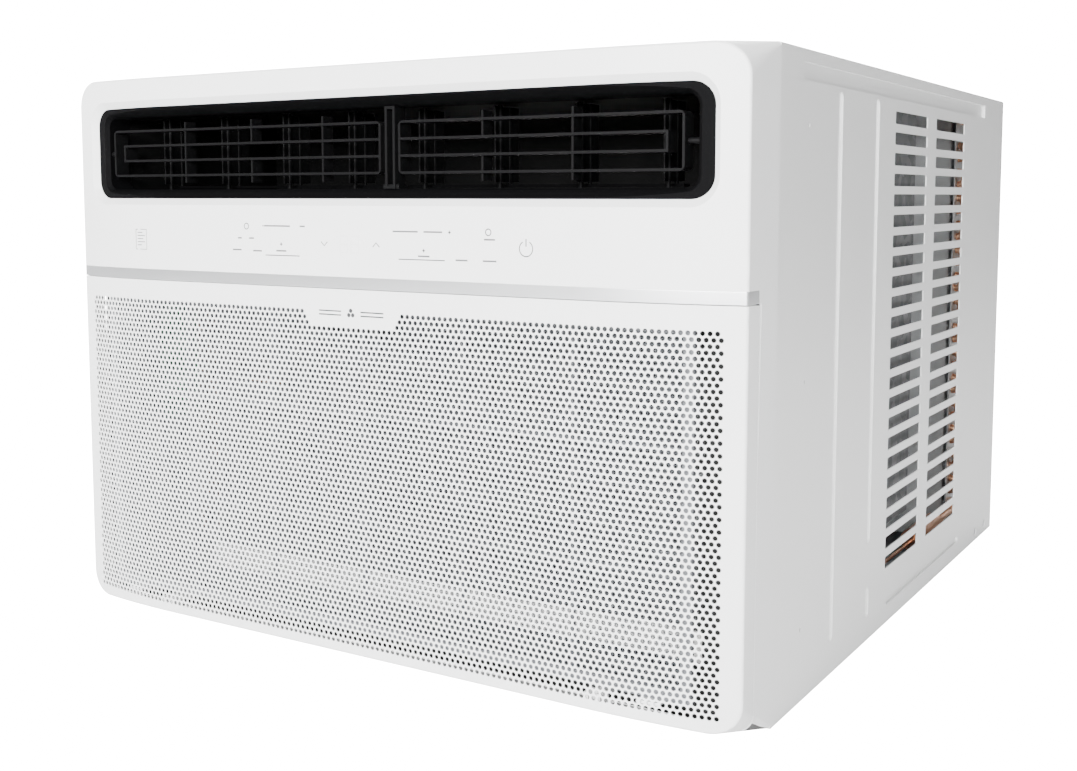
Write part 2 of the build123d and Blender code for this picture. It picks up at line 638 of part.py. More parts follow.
louver_left = louver(-LOOP_OUTER, LOUVER_SPLIT[0])
save(louver_left, "louver_left")
louver_right = louver(LOOP_OUTER, LOUVER_SPLIT[1])
save(louver_right, "louver_right")

# ================================================================ outlet: duct, vanes and link
SCROLL_THROAT = (FAN_X - SCROLL_LEFT, FAN_X + SCROLL_RIGHT)
vane_xs = [(i - (VANE_COUNT - 1) / 2) * VANE_PITCH for i in range(VANE_COUNT)]
VANE_LOW = LIP_LOW + LINK_FLOOR + LINK_THICK + 1.5
with BuildPart() as discharge_duct:
    slab((-LIP_HALF - DUCT_WALL, LIP_HALF + DUCT_WALL), (DUCT_FRONT, DUCT_BACK),
         (LIP_LOW - DUCT_WALL, LIP_HIGH + DUCT_WALL))
    slab((-LIP_HALF, LIP_HALF), (DUCT_FRONT - 1, DUCT_BACK - DUCT_WALL), (LIP_LOW, LIP_HIGH),
         Mode.SUBTRACT)
    slab(SCROLL_THROAT, (SCROLL_FRONT + SCROLL_WALL, SCROLL_BACK - SCROLL_WALL),
         (LIP_LOW - DUCT_WALL - 1, LIP_LOW + 1), Mode.SUBTRACT)
    for x in vane_xs:
        rod(VANE_PIN_R + RUNNING, (x, VANE_AXIS_DEPTH, LIP_LOW - DUCT_WALL - 1),
            (x, VANE_AXIS_DEPTH, LIP_HIGH + DUCT_WALL + 1), Mode.SUBTRACT)
save(discharge_duct, "discharge_duct")

for number, x in enumerate(vane_xs, start=1):
    with BuildPart() as vane:
        with BuildSketch(Plane.XY.offset(VANE_LOW)):
            with Locations((x, at(VANE_AXIS_DEPTH + (VANE_BACK - VANE_FRONT) / 2))):
                SlotOverall(VANE_FRONT + VANE_BACK, VANE_THICK, rotation=90)
            with Locations((x, at(VANE_AXIS_DEPTH))):
                Circle(VANE_PIN_R + 0.4)
            with Locations((x, at(VANE_AXIS_DEPTH + VANE_ARM))):
                Circle(VANE_PIN_R)
        extrude(amount=LIP_HIGH - 1 - VANE_LOW)
        rod(VANE_PIN_R, (x, VANE_AXIS_DEPTH, LIP_LOW - DUCT_WALL + 0.3),
            (x, VANE_AXIS_DEPTH, LIP_HIGH + DUCT_WALL - 0.2))
        rod(VANE_PIN_R, (x, VANE_AXIS_DEPTH + VANE_ARM, LIP_LOW + LINK_FLOOR + 0.2),
            (x, VANE_AXIS_DEPTH + VANE_ARM, VANE_LOW + 1))
    save(vane, f"vane_{number}")

VANE_DROP = VANE_ARM * (1 - math.cos(math.radians(VANE_SWING)))
with BuildPart() as vane_link:
    link_depth = VANE_AXIS_DEPTH + VANE_ARM
    link_middle = link_depth - 0.8
    slab((vane_xs[0] - 8, vane_xs[-1] + 8), (link_middle - LINK_WIDTH / 2, link_middle + LINK_WIDTH / 2),
         (LIP_LOW + LINK_FLOOR, LIP_LOW + LINK_FLOOR + LINK_THICK))
    for x in vane_xs:
        slot_x = (x - VANE_PIN_R - LINK_SLACK, x + VANE_PIN_R + LINK_SLACK)
        slab(slot_x, (link_depth - VANE_PIN_R - VANE_DROP - 0.3, link_depth + VANE_PIN_R + 0.3),
             (LIP_LOW, LIP_LOW + 10), Mode.SUBTRACT)
save(vane_link, "vane_link")

with BuildPart() as swing_motor:
    top = LIP_HIGH + DUCT_WALL
    x = vane_xs[-1]
    rod(SWING_MOTOR_R, (x, VANE_AXIS_DEPTH, top), (x, VANE_AXIS_DEPTH, top + SWING_MOTOR_HEIGHT))
    slab((x - 21, x + 21), (VANE_AXIS_DEPTH - 4, VANE_AXIS_DEPTH + 4), (top, top + 2))
    slab((x - 8, x + 8), (VANE_AXIS_DEPTH + 10, VANE_AXIS_DEPTH + 20), (top + 2, top + 14))
save(swing_motor, "swing_motor")

# ================================================================ cabinet
INNER = HALF - SHEET
DIMPLE_R = 5.0


def pressing(depth, z, side, deep, round_ends=True):
    """Bead pressed into one side of the wrap: the sheet steps in and keeps its thickness."""
    wide = depth[1] - depth[0]
    tall = z[1] - z[0]
    centre = (at((depth[0] + depth[1]) / 2), (z[0] + z[1]) / 2)
    corner = min(wide, tall) / 2 - 0.01
    outer = across(side * HALF)
    for grow, start, reach, mode in ((SHEET, 0.2, deep + SHEET, Mode.ADD), (0, -1, deep, Mode.SUBTRACT)):
        with BuildSketch(outer.offset(-side * start)) as outline:
            with Locations(centre):
                if round_ends:
                    RectangleRounded(wide + 2 * grow, tall + 2 * grow, corner + grow)
                else:
                    Rectangle(wide + 2 * grow, tall + 2 * grow)
        extrude(outline.sketch, amount=-side * (reach - start), mode=mode, taper=0)


with BuildPart() as cabinet_wrap:
    slab((-HALF, HALF), (FASCIA_DEPTH, DEPTH), (0, HEIGHT))
    fillet([e for e in cabinet_wrap.edges().filter_by(Axis.Y) if e.center().Z > HEIGHT - 1], WRAP_BEND)
    slab((-INNER, INNER), (FASCIA_DEPTH - 1, DEPTH + 1), (-1, HEIGHT - SHEET), Mode.SUBTRACT)
    slab((-INNER - 0.1, INNER + 0.1), (DEPTH - SHEET, DEPTH), (FLOOR_SHEET + 0.2, HEIGHT - SHEET + 0.1))
    slab((-INNER + REAR_FLANGE, INNER - REAR_FLANGE), (DEPTH - SHEET - 1, DEPTH + 1),
         (-1, HEIGHT - SHEET - REAR_FLANGE), Mode.SUBTRACT)
    lip = (HALF - FASCIA_WALL - 0.3, HEIGHT - FASCIA_WALL - 0.9)
    lip_front = FASCIA_DEPTH - LIP_BACKSET
    slab((-INNER - 0.1, INNER + 0.1), (FASCIA_DEPTH, FASCIA_DEPTH + SHEET), (0, HEIGHT - SHEET + 0.1))
    slab((-lip[0] + SHEET, lip[0] - SHEET), (FASCIA_DEPTH - 1, FASCIA_DEPTH + SHEET + 1),
         (-1, lip[1] - SHEET), Mode.SUBTRACT)
    slab((-lip[0] + LIP_CORNER, lip[0] - LIP_CORNER), (lip_front, FASCIA_DEPTH + 0.1),
         (lip[1] - SHEET, lip[1]))
    for side in (-1, 1):
        lip_x = sorted((side * lip[0], side * (lip[0] - SHEET)))
        slab(lip_x, (lip_front, FASCIA_DEPTH + 0.1), (LIP_CORNER, lip[1] - LIP_CORNER))
    slab((-lip[0] - 1, -lip[0] + SHEET + 1), (lip_front - 1, FASCIA_DEPTH - 0.01),
         (GLAND_Z - GLAND_FLANGE - 4, GLAND_Z + GLAND_FLANGE + 4), Mode.SUBTRACT)
    for side in (-1, 1):
        pressing(CHANNEL, CHANNEL_Z, side, CHANNEL_DEPTH, round_ends=False)
        pressing((BEAD_1 - BEAD_WIDTH / 2, BEAD_1 + BEAD_WIDTH / 2), (BEAD_1_FOOT, BEAD_TOP - 3), side,
                 BEAD_DEPTH)
        pressing((BEAD_2 - BEAD_WIDTH / 2, BEAD_2 + BEAD_WIDTH / 2), (BEAD_2_FOOT, BEAD_TOP - 3), side,
                 BEAD_DEPTH)
        pressing((BEAD_2 - BEAD_WIDTH / 2, BEAD_2 + BEAD_WIDTH / 2), SLOT_FOOT, side, BEAD_DEPTH)
        pressing(GROOVE, GROOVE_Z, side, BEAD_DEPTH)
        for depth in CORNER_SCREWS:
            pressing((depth - DIMPLE_R, depth + DIMPLE_R),
                     (CORNER_SCREW_Z - DIMPLE_R, CORNER_SCREW_Z + DIMPLE_R), side, SCREW_SINK)
            rod(SCREW_R, (side * (HALF + 1), depth, CORNER_SCREW_Z),
                (side * (HALF - 8), depth, CORNER_SCREW_Z), Mode.SUBTRACT)
    with BuildSketch(Plane.YZ) as vents:
        for start, length in VENT_COLUMNS:
            middle = VENT_TOP - VENT_HEIGHT / 2 - (VENT_ROWS - 1) * VENT_PITCH / 2
            with Locations((at(start + length / 2), middle)):
                with GridLocations(0, VENT_PITCH, 1, VENT_ROWS):
                    RectangleRounded(length, VENT_HEIGHT, VENT_RADIUS)
        with Locations((at(CURTAIN_DEPTH), CURTAIN_Z)):
            with GridLocations(0, CURTAIN_PITCH, 1, 3):
                Circle(CURTAIN_HOLE_R)
    extrude(vents.sketch, amount=HALF + 5, both=True, mode=Mode.SUBTRACT)
save(cabinet_wrap, "cabinet_wrap")

with BuildPart() as cabinet_floor:
    floor_half = INNER - 0.05
    slab((-floor_half, floor_half), (FASCIA_DEPTH + 3, DEPTH - SHEET - 0.2), (0, FLOOR_SHEET))
    for side in (-1, 1):
        for depth in CORNER_SCREWS:
            tab_x = sorted((side * (HALF - SCREW_SINK - SHEET - 0.1),
                            side * (HALF - SCREW_SINK - SHEET - 0.1 - FLOOR_SHEET)))
            slab(tab_x, (depth - 9, depth + 9), (0, FLOOR_TAB))
            rod(SCREW_R, (side * (HALF + 1), depth, CORNER_SCREW_Z),
                (side * (HALF - 12), depth, CORNER_SCREW_Z), Mode.SUBTRACT)
    rod(DRAIN_R + 3, (DRAIN_X, DRAIN_DEPTH, -1), (DRAIN_X, DRAIN_DEPTH, FLOOR_SHEET + 1), Mode.SUBTRACT)
save(cabinet_floor, "cabinet_floor")

with BuildPart() as cabinet_screws:
    for side in (-1, 1):
        for depth in CORNER_SCREWS:
            seat = side * (HALF - SCREW_SINK)
            rod(SCREW_HEAD_R - 0.6, (seat, depth, CORNER_SCREW_Z),
                (seat + side * 1.5, depth, CORNER_SCREW_Z))
            rod(SCREW_R, (seat + side * 0.1, depth, CORNER_SCREW_Z),
                (seat - side * 3.6, depth, CORNER_SCREW_Z))
save(cabinet_screws, "cabinet_screws")

# ================================================================ chassis: base pan and bulkhead
with BuildPart() as base_pan:
    slab((-PAN_HALF, PAN_HALF), (PAN_FRONT, PAN_REAR), (FLOOR_SHEET, FLOOR_SHEET + PAN_EDGE))
    slab((-PAN_HALF + PAN_SHEET, PAN_HALF - PAN_SHEET), (PAN_FRONT + PAN_SHEET, PAN_REAR - PAN_SHEET),
         (PAN_TOP, HEIGHT), Mode.SUBTRACT)
    for side in (-1, 1):
        x = side * FASCIA_SCREW_X
        rod(SCREW_R, (x, PAN_FRONT - 1, FASCIA_SCREW_Z), (x, PAN_FRONT + 4, FASCIA_SCREW_Z), Mode.SUBTRACT)
    rod(DRAIN_R, (DRAIN_X, DRAIN_DEPTH, 0), (DRAIN_X, DRAIN_DEPTH, 10), Mode.SUBTRACT)
save(base_pan, "base_pan")

with BuildPart() as drain_plug:
    rod(DRAIN_R, (DRAIN_X, DRAIN_DEPTH, 0.4), (DRAIN_X, DRAIN_DEPTH, PAN_TOP))
    rod(DRAIN_R + 3, (DRAIN_X, DRAIN_DEPTH, PAN_TOP), (DRAIN_X, DRAIN_DEPTH, PAN_TOP + 2.5))
save(drain_plug, "drain_plug")

BULKHEAD_HALF = PAN_HALF - PAN_SHEET - 0.2
BULKHEAD_BACK = BULKHEAD_DEPTH + BULKHEAD_THICK
BULKHEAD_TOP = HEIGHT - SHEET - SEAL_THICK - 0.4
CAPILLARY_X = INNER - CHANNEL_DEPTH - 16
with BuildPart() as bulkhead:
    slab((-BULKHEAD_HALF, BULKHEAD_HALF), (BULKHEAD_DEPTH, BULKHEAD_BACK), (PAN_TOP, BULKHEAD_TOP))
    for x, z, r in ((FAN_X, FAN_Z, SHAFT_R + 8), (CAPILLARY_X, COND_OUT_Z, CAPILLARY_R + 2),
                    (SUCTION_X, SUCTION_Z, SUCTION_R + 2), (WIRE_X, WIRE_Z, WIRE_R + 1.5)):
        rod(r, (x, BULKHEAD_DEPTH - 1, z), (x, BULKHEAD_BACK + 1, z), Mode.SUBTRACT)
save(bulkhead, "bulkhead")

# An upright wing beside the compressor closes the front column of the right-hand vents.
with BuildPart() as side_baffle:
    baffle_x = BULKHEAD_HALF - 0.3
    slab((baffle_x - BAFFLE_SHEET, baffle_x), (BULKHEAD_BACK, BAFFLE_BACK), BAFFLE)
    slab((baffle_x - BAFFLE_FLANGE, baffle_x), (BULKHEAD_BACK, BULKHEAD_BACK + BAFFLE_SHEET), BAFFLE)
save(side_baffle, "side_baffle")

with BuildPart() as bulkhead_seal:
    seal_half = HALF - SHEET - CHANNEL_DEPTH - SHEET - SOFT
    slab((-seal_half, seal_half), (BULKHEAD_DEPTH, BULKHEAD_BACK),
         (FLOOR_SHEET + PAN_EDGE + 0.5, BULKHEAD_TOP + SEAL_THICK))
    slab((-BULKHEAD_HALF, BULKHEAD_HALF), (BULKHEAD_DEPTH - 1, BULKHEAD_BACK + 1), (0, BULKHEAD_TOP),
         Mode.SUBTRACT)
save(bulkhead_seal, "bulkhead_seal")


# ================================================================ chassis: coils
def coil_block(left, right, bottom, top, front, thick):
    """Finned coil as one block between two slightly larger end plates."""
    with BuildPart() as coil:
        slab((left, right), (front, front + thick), (bottom, top))
        for x in (left, right - END_PLATE):
            slab((x, x + END_PLATE), (front - 1.5, front + thick + 1.5), (bottom - 2, top + 2))
    return coil


def row_heights(bottom, top, pairs):
    """Heights of the middle of each pair of tube rows."""
    pitch = (top - bottom) / pairs
    return [bottom + (i + 0.5) * pitch for i in range(pairs)]


def return_bends(left, right, bottom, top, front, thick, pairs, radius):
    """Half-round return bends at both ends of a coil, each joining two rows."""
    pitch = (top - bottom) / pairs / 2
    with BuildPart() as bends:
        for side, face in ((-1, left), (1, right)):
            for depth in (front + 0.25 * thick, front + 0.75 * thick):
                for z in row_heights(bottom, top, pairs):
                    if side > 0 and (z < bottom + 2 * pitch or z > top - 2 * pitch):
                        continue
                    profile = Plane(origin=(face, at(depth), z - pitch / 2), z_dir=(side, 0, 0))
                    with BuildSketch(profile) as disc:
                        Circle(radius)
                    hub = Axis((face, at(depth), z), (0, -side, 0))
                    revolve(disc.sketch, axis=hub, revolution_arc=180)
    return bends


evaporator_coil = coil_block(COIL_LEFT, COIL_RIGHT, COIL_BOTTOM, COIL_TOP, COIL_FRONT, COIL_THICK)
save(evaporator_coil, "evaporator_coil")
evaporator_bends = return_bends(COIL_LEFT, COIL_RIGHT, COIL_BOTTOM, COIL_TOP, COIL_FRONT, COIL_THICK,
                                COIL_ROWS, BEND_R)
save(evaporator_bends, "evaporator_bends")
condenser_coil = coil_block(-COND_HALF, COND_HALF, COND_BOTTOM, COND_TOP, COND_DEPTH, COND_THICK)
save(condenser_coil, "condenser_coil")
condenser_bends = return_bends(-COND_HALF, COND_HALF, COND_BOTTOM, COND_TOP, COND_DEPTH, COND_THICK,
                               COND_ROWS, COND_BEND_R)
save(condenser_bends, "condenser_bends")

with BuildPart() as drain_tray:
    tray_x = (COIL_LEFT - 6, COIL_RIGHT + 6)
    tray_depth = (COIL_FRONT - 4, COIL_FRONT + COIL_THICK + 4)
    slab(tray_x, tray_depth, (TRAY_BOTTOM, COIL_BOTTOM + 4))
    slab((tray_x[0] + 2, tray_x[1] - 2), (tray_depth[0] + 2, tray_depth[1] - 2),
         (COIL_BOTTOM - 2, COIL_BOTTOM + 5), Mode.SUBTRACT)
save(drain_tray, "drain_tray")

with BuildPart() as room_thermistor:
    slab((-152, -144), (COIL_FRONT - 5.5, COIL_FRONT), (198, 202))
    rod(2.5, (-160, COIL_FRONT - 7.5, 200), (-130, COIL_FRONT - 7.5, 200))
save(room_thermistor, "room_thermistor")

# ================================================================ chassis: blower and motor
SCROLL_TOP = LIP_LOW - DUCT_WALL
with BuildPart() as scroll_housing:
    for grow, depth, mode in ((SCROLL_WALL, (SCROLL_FRONT, SCROLL_BACK), Mode.ADD),
                              (0, (SCROLL_FRONT + SCROLL_WALL, SCROLL_BACK - SCROLL_WALL), Mode.SUBTRACT)):
        with BuildSketch(facing(depth[0])) as outline:
            with Locations(((SCROLL_THROAT[0] + SCROLL_THROAT[1]) / 2, FAN_Z)):
                Circle((SCROLL_THROAT[1] - SCROLL_THROAT[0]) / 2 + grow)
            with Locations(((SCROLL_THROAT[0] + SCROLL_THROAT[1]) / 2, (FAN_Z + SCROLL_TOP) / 2)):
                Rectangle(SCROLL_THROAT[1] - SCROLL_THROAT[0] + 2 * grow, SCROLL_TOP - FAN_Z)
        extrude(outline.sketch, amount=-(depth[1] - depth[0]), mode=mode)
    rod(INLET_R + 3, (FAN_X, SCROLL_FRONT - 1, FAN_Z), (FAN_X, SCROLL_FRONT + SCROLL_WALL + 1, FAN_Z),
        Mode.SUBTRACT)
    rod(SHAFT_R + 6, (FAN_X, SCROLL_BACK - SCROLL_WALL - 1, FAN_Z), (FAN_X, SCROLL_BACK + 1, FAN_Z),
        Mode.SUBTRACT)
save(scroll_housing, "scroll_housing")

with BuildPart() as inlet_ring:
    with BuildSketch(across(FAN_X)) as section:
        with BuildLine():
            Polyline((at(SCROLL_FRONT - 2), FAN_Z + INLET_R + 14), (at(SCROLL_FRONT), FAN_Z + INLET_R + 14),
                     (at(SCROLL_FRONT), FAN_Z + INLET_R + 3), (at(WHEEL_FRONT - 3), FAN_Z + INLET_R),
                     (at(WHEEL_FRONT - 3), FAN_Z + INLET_R - 2), (at(SCROLL_FRONT - 2), FAN_Z + INLET_R + 1),
                     close=True)
        make_face()
    revolve(section.sketch, axis=Axis((FAN_X, 0, FAN_Z), (0, 1, 0)))
save(inlet_ring, "inlet_ring")

FAN_AXIS = Axis((FAN_X, 0, FAN_Z), (0, 1, 0))
WHEEL_BACK = WHEEL_FRONT + WHEEL_WIDTH
with BuildPart() as blower_wheel:
    rod(WHEEL_R, (FAN_X, WHEEL_BACK - 2, FAN_Z), (FAN_X, WHEEL_BACK, FAN_Z))
    rod(14, (FAN_X, WHEEL_BACK - 24, FAN_Z), (FAN_X, WHEEL_BACK + 2, FAN_Z))
    with BuildSketch(facing(WHEEL_FRONT + 0.1)) as blades:
        with Locations((FAN_X, FAN_Z)):
            with PolarLocations(WHEEL_R - 11, WHEEL_BLADES):
                SlotOverall(20, 1.4, rotation=35)
    extrude(blades.sketch, amount=-(WHEEL_WIDTH - 1))
    for depth in (WHEEL_FRONT, WHEEL_FRONT + WHEEL_WIDTH / 2):
        with BuildSketch(facing(depth)) as ring:
            with Locations((FAN_X, FAN_Z)):
                Circle(WHEEL_R)
                Circle(WHEEL_R - 6, mode=Mode.SUBTRACT)
        extrude(ring.sketch, amount=-3)
    rod(SHAFT_R, (FAN_X, WHEEL_BACK - 30, FAN_Z), (FAN_X, WHEEL_BACK + 5, FAN_Z), Mode.SUBTRACT)
save(blower_wheel, "blower_wheel")

PROP_BACK = PROP_FRONT + PROP_HUB_LENGTH
with BuildPart() as motor_shaft:
    rod(SHAFT_R, (FAN_X, WHEEL_BACK - 28, FAN_Z), (FAN_X, PROP_BACK + 6, FAN_Z))
save(motor_shaft, "motor_shaft")

MOTOR_BACK = MOTOR_FRONT + MOTOR_LENGTH
with BuildPart() as motor_shell:
    rod(MOTOR_R, (FAN_X, MOTOR_FRONT, FAN_Z), (FAN_X, MOTOR_BACK, FAN_Z))
    fillet(motor_shell.edges().filter_by(GeomType.CIRCLE), 8)
    rod(BEARING_R + 5, (FAN_X, MOTOR_FRONT - 6, FAN_Z), (FAN_X, MOTOR_BACK + 6, FAN_Z))
    rod(MOTOR_R - MOTOR_WALL, (FAN_X, MOTOR_FRONT + 10, FAN_Z), (FAN_X, MOTOR_BACK - 10, FAN_Z),
        Mode.SUBTRACT)
    rod(SHAFT_R + 1.5, (FAN_X, MOTOR_FRONT - 7, FAN_Z), (FAN_X, MOTOR_BACK + 7, FAN_Z), Mode.SUBTRACT)
    for depth in (MOTOR_FRONT - 4, MOTOR_BACK + 4 - BEARING_LENGTH):
        rod(BEARING_R, (FAN_X, depth, FAN_Z), (FAN_X, depth + BEARING_LENGTH, FAN_Z), Mode.SUBTRACT)
save(motor_shell, "motor_shell")

with BuildPart() as motor_bearings:
    for depth in (MOTOR_FRONT - 4, MOTOR_BACK + 4 - BEARING_LENGTH):
        rod(BEARING_R, (FAN_X, depth, FAN_Z), (FAN_X, depth + BEARING_LENGTH, FAN_Z))
    rod(SHAFT_R + RUNNING, (FAN_X, MOTOR_FRONT - 10, FAN_Z), (FAN_X, MOTOR_BACK + 10, FAN_Z), Mode.SUBTRACT)
save(motor_bearings, "motor_bearings")

BOLT_CIRCLE = MOTOR_R - 16
with BuildPart() as motor_bracket:
    plate_depth = (MOTOR_FRONT - BRACKET_SHEET, MOTOR_FRONT)
    plate_x = (FAN_X - BRACKET_HALF, FAN_X + BRACKET_HALF)
    slab(plate_x, plate_depth, (PAN_TOP, FAN_Z))
    rod(BRACKET_HALF, (FAN_X, plate_depth[0], FAN_Z), (FAN_X, plate_depth[1], FAN_Z))
    slab(plate_x, (MOTOR_FRONT - BRACKET_SHEET, MOTOR_BACK + 10), (PAN_TOP, PAN_TOP + BRACKET_SHEET))
    for x in (plate_x[0], plate_x[1] - BRACKET_SHEET):
        with BuildSketch(across(x)) as gusset:
            with BuildLine():
                Polyline((at(MOTOR_FRONT - 1), PAN_TOP + 1), (at(MOTOR_BACK + 10), PAN_TOP + 1),
                         (at(MOTOR_BACK + 10), PAN_TOP + 12), (at(MOTOR_FRONT - 1), FAN_Z - 30), close=True)
            make_face()
        extrude(gusset.sketch, amount=BRACKET_SHEET)
    rod(BEARING_R + 6, (FAN_X, plate_depth[0] - 1, FAN_Z), (FAN_X, plate_depth[1] + 1, FAN_Z), Mode.SUBTRACT)
    with BuildSketch(facing(plate_depth[0] - 1)) as bolt_holes:
        with Locations((FAN_X, FAN_Z)):
            with PolarLocations(BOLT_CIRCLE, 4, start_angle=45):
                Circle(MOTOR_BOLT_R)
    extrude(bolt_holes.sketch, amount=-BRACKET_SHEET - 2, mode=Mode.SUBTRACT)
save(motor_bracket, "motor_bracket")

with BuildPart() as motor_bolts:
    for plane, reach, shape in ((facing(plate_depth[0]), 5, "hexagon"),
                                (facing(plate_depth[0] - 0.1), -BRACKET_SHEET, "shank")):
        with BuildSketch(plane) as bolt_face:
            with Locations((FAN_X, FAN_Z)):
                with PolarLocations(BOLT_CIRCLE, 4, start_angle=45):
                    if shape == "hexagon":
                        RegularPolygon(6, 6)
                    else:
                        Circle(MOTOR_BOLT_R)
        extrude(bolt_face.sketch, amount=reach)
save(motor_bolts, "motor_bolts")

# ================================================================ chassis: condenser fan and shroud
with BuildPart() as prop_blades:
    for i in range(PROP_BLADES):
        turn = math.radians(360 / PROP_BLADES * i)
        radial = Vector(math.cos(turn), 0, math.sin(turn))
        sideways = Vector(-math.sin(turn), 0, math.cos(turn))
        tilt = math.radians(PROP_PITCH)
        normal = Vector(0, 1, 0) * math.cos(tilt) + sideways * math.sin(tilt)
        origin = (FAN_X, at((PROP_FRONT + PROP_BACK) / 2), FAN_Z)
        with BuildSketch(Plane(origin=origin, x_dir=radial, z_dir=normal)) as leaf:
            with BuildLine():
                Polyline((PROP_HUB_R - 8, -22), (PROP_R, -50), (PROP_R + 4, 0), (PROP_R, 50),
                         (PROP_HUB_R - 8, 22), close=True)
            make_face()
        extrude(leaf.sketch, amount=1.2, both=True)
    with BuildSketch(facing(PROP_FRONT - 20)) as tip_circle:
        with Locations((FAN_X, FAN_Z)):
            Circle(PROP_R)
    extrude(tip_circle.sketch, amount=-(PROP_HUB_LENGTH + 40), mode=Mode.INTERSECT)

with BuildPart() as condenser_fan:
    add(prop_blades.part)
    rod(PROP_HUB_R, (FAN_X, PROP_FRONT, FAN_Z), (FAN_X, PROP_BACK, FAN_Z))
    with BuildSketch(across(FAN_X)) as sling:
        with Locations((at((PROP_FRONT + PROP_BACK) / 2), FAN_Z + PROP_R)):
            Rectangle(8, 2 * SLINGER_R)
    revolve(sling.sketch, axis=FAN_AXIS)
    rod(SHAFT_R, (FAN_X, PROP_FRONT - 1, FAN_Z), (FAN_X, PROP_BACK + 1, FAN_Z), Mode.SUBTRACT)
save(condenser_fan, "condenser_fan")

SHROUD_HALF = COND_HALF - 4
SHROUD_Z = (PAN_TOP + 16, COND_TOP - 4)
RING_R = PROP_R + SLINGER_R + SHROUD_CLEAR
with BuildPart() as condenser_shroud:
    slab((-SHROUD_HALF, SHROUD_HALF), (SHROUD_DEPTH, COND_DEPTH - 2), SHROUD_Z)
    slab((-SHROUD_HALF + SHROUD_WALL, SHROUD_HALF - SHROUD_WALL), (SHROUD_DEPTH + SHROUD_WALL, COND_DEPTH),
         (SHROUD_Z[0] + SHROUD_WALL, SHROUD_Z[1] - SHROUD_WALL), Mode.SUBTRACT)
    rod(RING_R + SHROUD_WALL, (FAN_X, SHROUD_DEPTH, FAN_Z), (FAN_X, PROP_BACK, FAN_Z))
    rod(RING_R, (FAN_X, SHROUD_DEPTH - 1, FAN_Z), (FAN_X, PROP_BACK + 1, FAN_Z), Mode.SUBTRACT)
save(condenser_shroud, "condenser_shroud")

# ================================================================ chassis: compressor
feet = ring_of(COMP_FEET_R, 3, (COMP_X, COMP_DEPTH), start=90)
PLATE_Z = (COMP_BOTTOM - 3, COMP_BOTTOM)
with BuildPart() as compressor:
    rod(COMP_R, (COMP_X, COMP_DEPTH, COMP_BOTTOM), (COMP_X, COMP_DEPTH, COMP_TOP))
    fillet(compressor.edges().filter_by(GeomType.CIRCLE), COMP_DOME)
    with BuildSketch(Plane.XY.offset(PLATE_Z[0])) as plate:
        with Locations((COMP_X, at(COMP_DEPTH))):
            RegularPolygon(COMP_FEET_R + 22, 3, rotation=90)
    extrude(plate.sketch, amount=PLATE_Z[1] - PLATE_Z[0] + 0.5)
    fillet([e for e in compressor.edges().filter_by(Axis.Z) if e.center().Z < COMP_BOTTOM + 1], 14)
    with BuildSketch(Plane.XY.offset(PLATE_Z[0] - 1)) as plate_holes:
        with Locations(*feet):
            Circle(GROMMET_R - 4)
    extrude(plate_holes.sketch, amount=6, mode=Mode.SUBTRACT)
save(compressor, "compressor")

with BuildPart() as compressor_grommets:
    for radius, z in ((GROMMET_R, (PAN_TOP, PLATE_Z[0])), (GROMMET_R - 4, (PLATE_Z[0], PLATE_Z[1] + 0.5)),
                      (GROMMET_R - 1, (PLATE_Z[1] + 0.5, PLATE_Z[1] + 5))):
        with BuildSketch(Plane.XY.offset(z[0])) as layer:
            with Locations(*feet):
                Circle(radius)
                Circle(STUD_R, mode=Mode.SUBTRACT)
        extrude(layer.sketch, amount=z[1] - z[0])
save(compressor_grommets, "compressor_grommets")

with BuildPart() as compressor_nuts:
    with BuildSketch(Plane.XY.offset(PAN_TOP)) as studs:
        with Locations(*feet):
            Circle(STUD_R)
    extrude(studs.sketch, amount=PLATE_Z[1] + 11 - PAN_TOP)
    with BuildSketch(Plane.XY.offset(PLATE_Z[1] + 5)) as nuts:
        with Locations(*feet):
            RegularPolygon(5.8, 6)
    extrude(nuts.sketch, amount=5)
save(compressor_nuts, "compressor_nuts")

with BuildPart() as terminal_cover:
    slab((COMP_X - 55, COMP_X + 5), (COMP_DEPTH - COMP_R - 16, COMP_DEPTH), (170, 236))
    rod(COMP_R, (COMP_X, COMP_DEPTH, 160), (COMP_X, COMP_DEPTH, 250), Mode.SUBTRACT)
    slab((COMP_X - 60, COMP_X + 10), (COMP_DEPTH - COMP_R + 20, COMP_DEPTH + 1), (160, 250), Mode.SUBTRACT)
save(terminal_cover, "terminal_cover")

with BuildPart() as accumulator:
    rod(ACC_R, (ACC_X, ACC_DEPTH, ACC_BOTTOM), (ACC_X, ACC_DEPTH, ACC_TOP))
    fillet(accumulator.edges().filter_by(GeomType.CIRCLE), ACC_R - 12)
save(accumulator, "accumulator")

# ================================================================ chassis: tubes
COND_IN_Z = COND_TOP - (COND_TOP - COND_BOTTOM) / COND_ROWS / 4
EVAP_DEPTH = COIL_FRONT + 0.5 * COIL_THICK
COND_MID = COND_DEPTH + 0.5 * COND_THICK
suction_line = tube(SUCTION_R, [(COIL_RIGHT, EVAP_DEPTH, SUCTION_Z), (SUCTION_X, EVAP_DEPTH, SUCTION_Z),
                                (SUCTION_X, ACC_DEPTH, SUCTION_Z), (ACC_X, ACC_DEPTH, SUCTION_Z),
                                (ACC_X, ACC_DEPTH, ACC_TOP)], 10)
suction_return = tube(SUCTION_R, [(ACC_X, ACC_DEPTH, ACC_BOTTOM), (ACC_X, ACC_DEPTH, 54),
                                  (COMP_X, ACC_DEPTH, 54), (COMP_X, COMP_DEPTH + COMP_R, 54)], 12)
with BuildPart() as suction_tube:
    add(suction_line)
    add(suction_return)
save(suction_tube, "suction_tube")

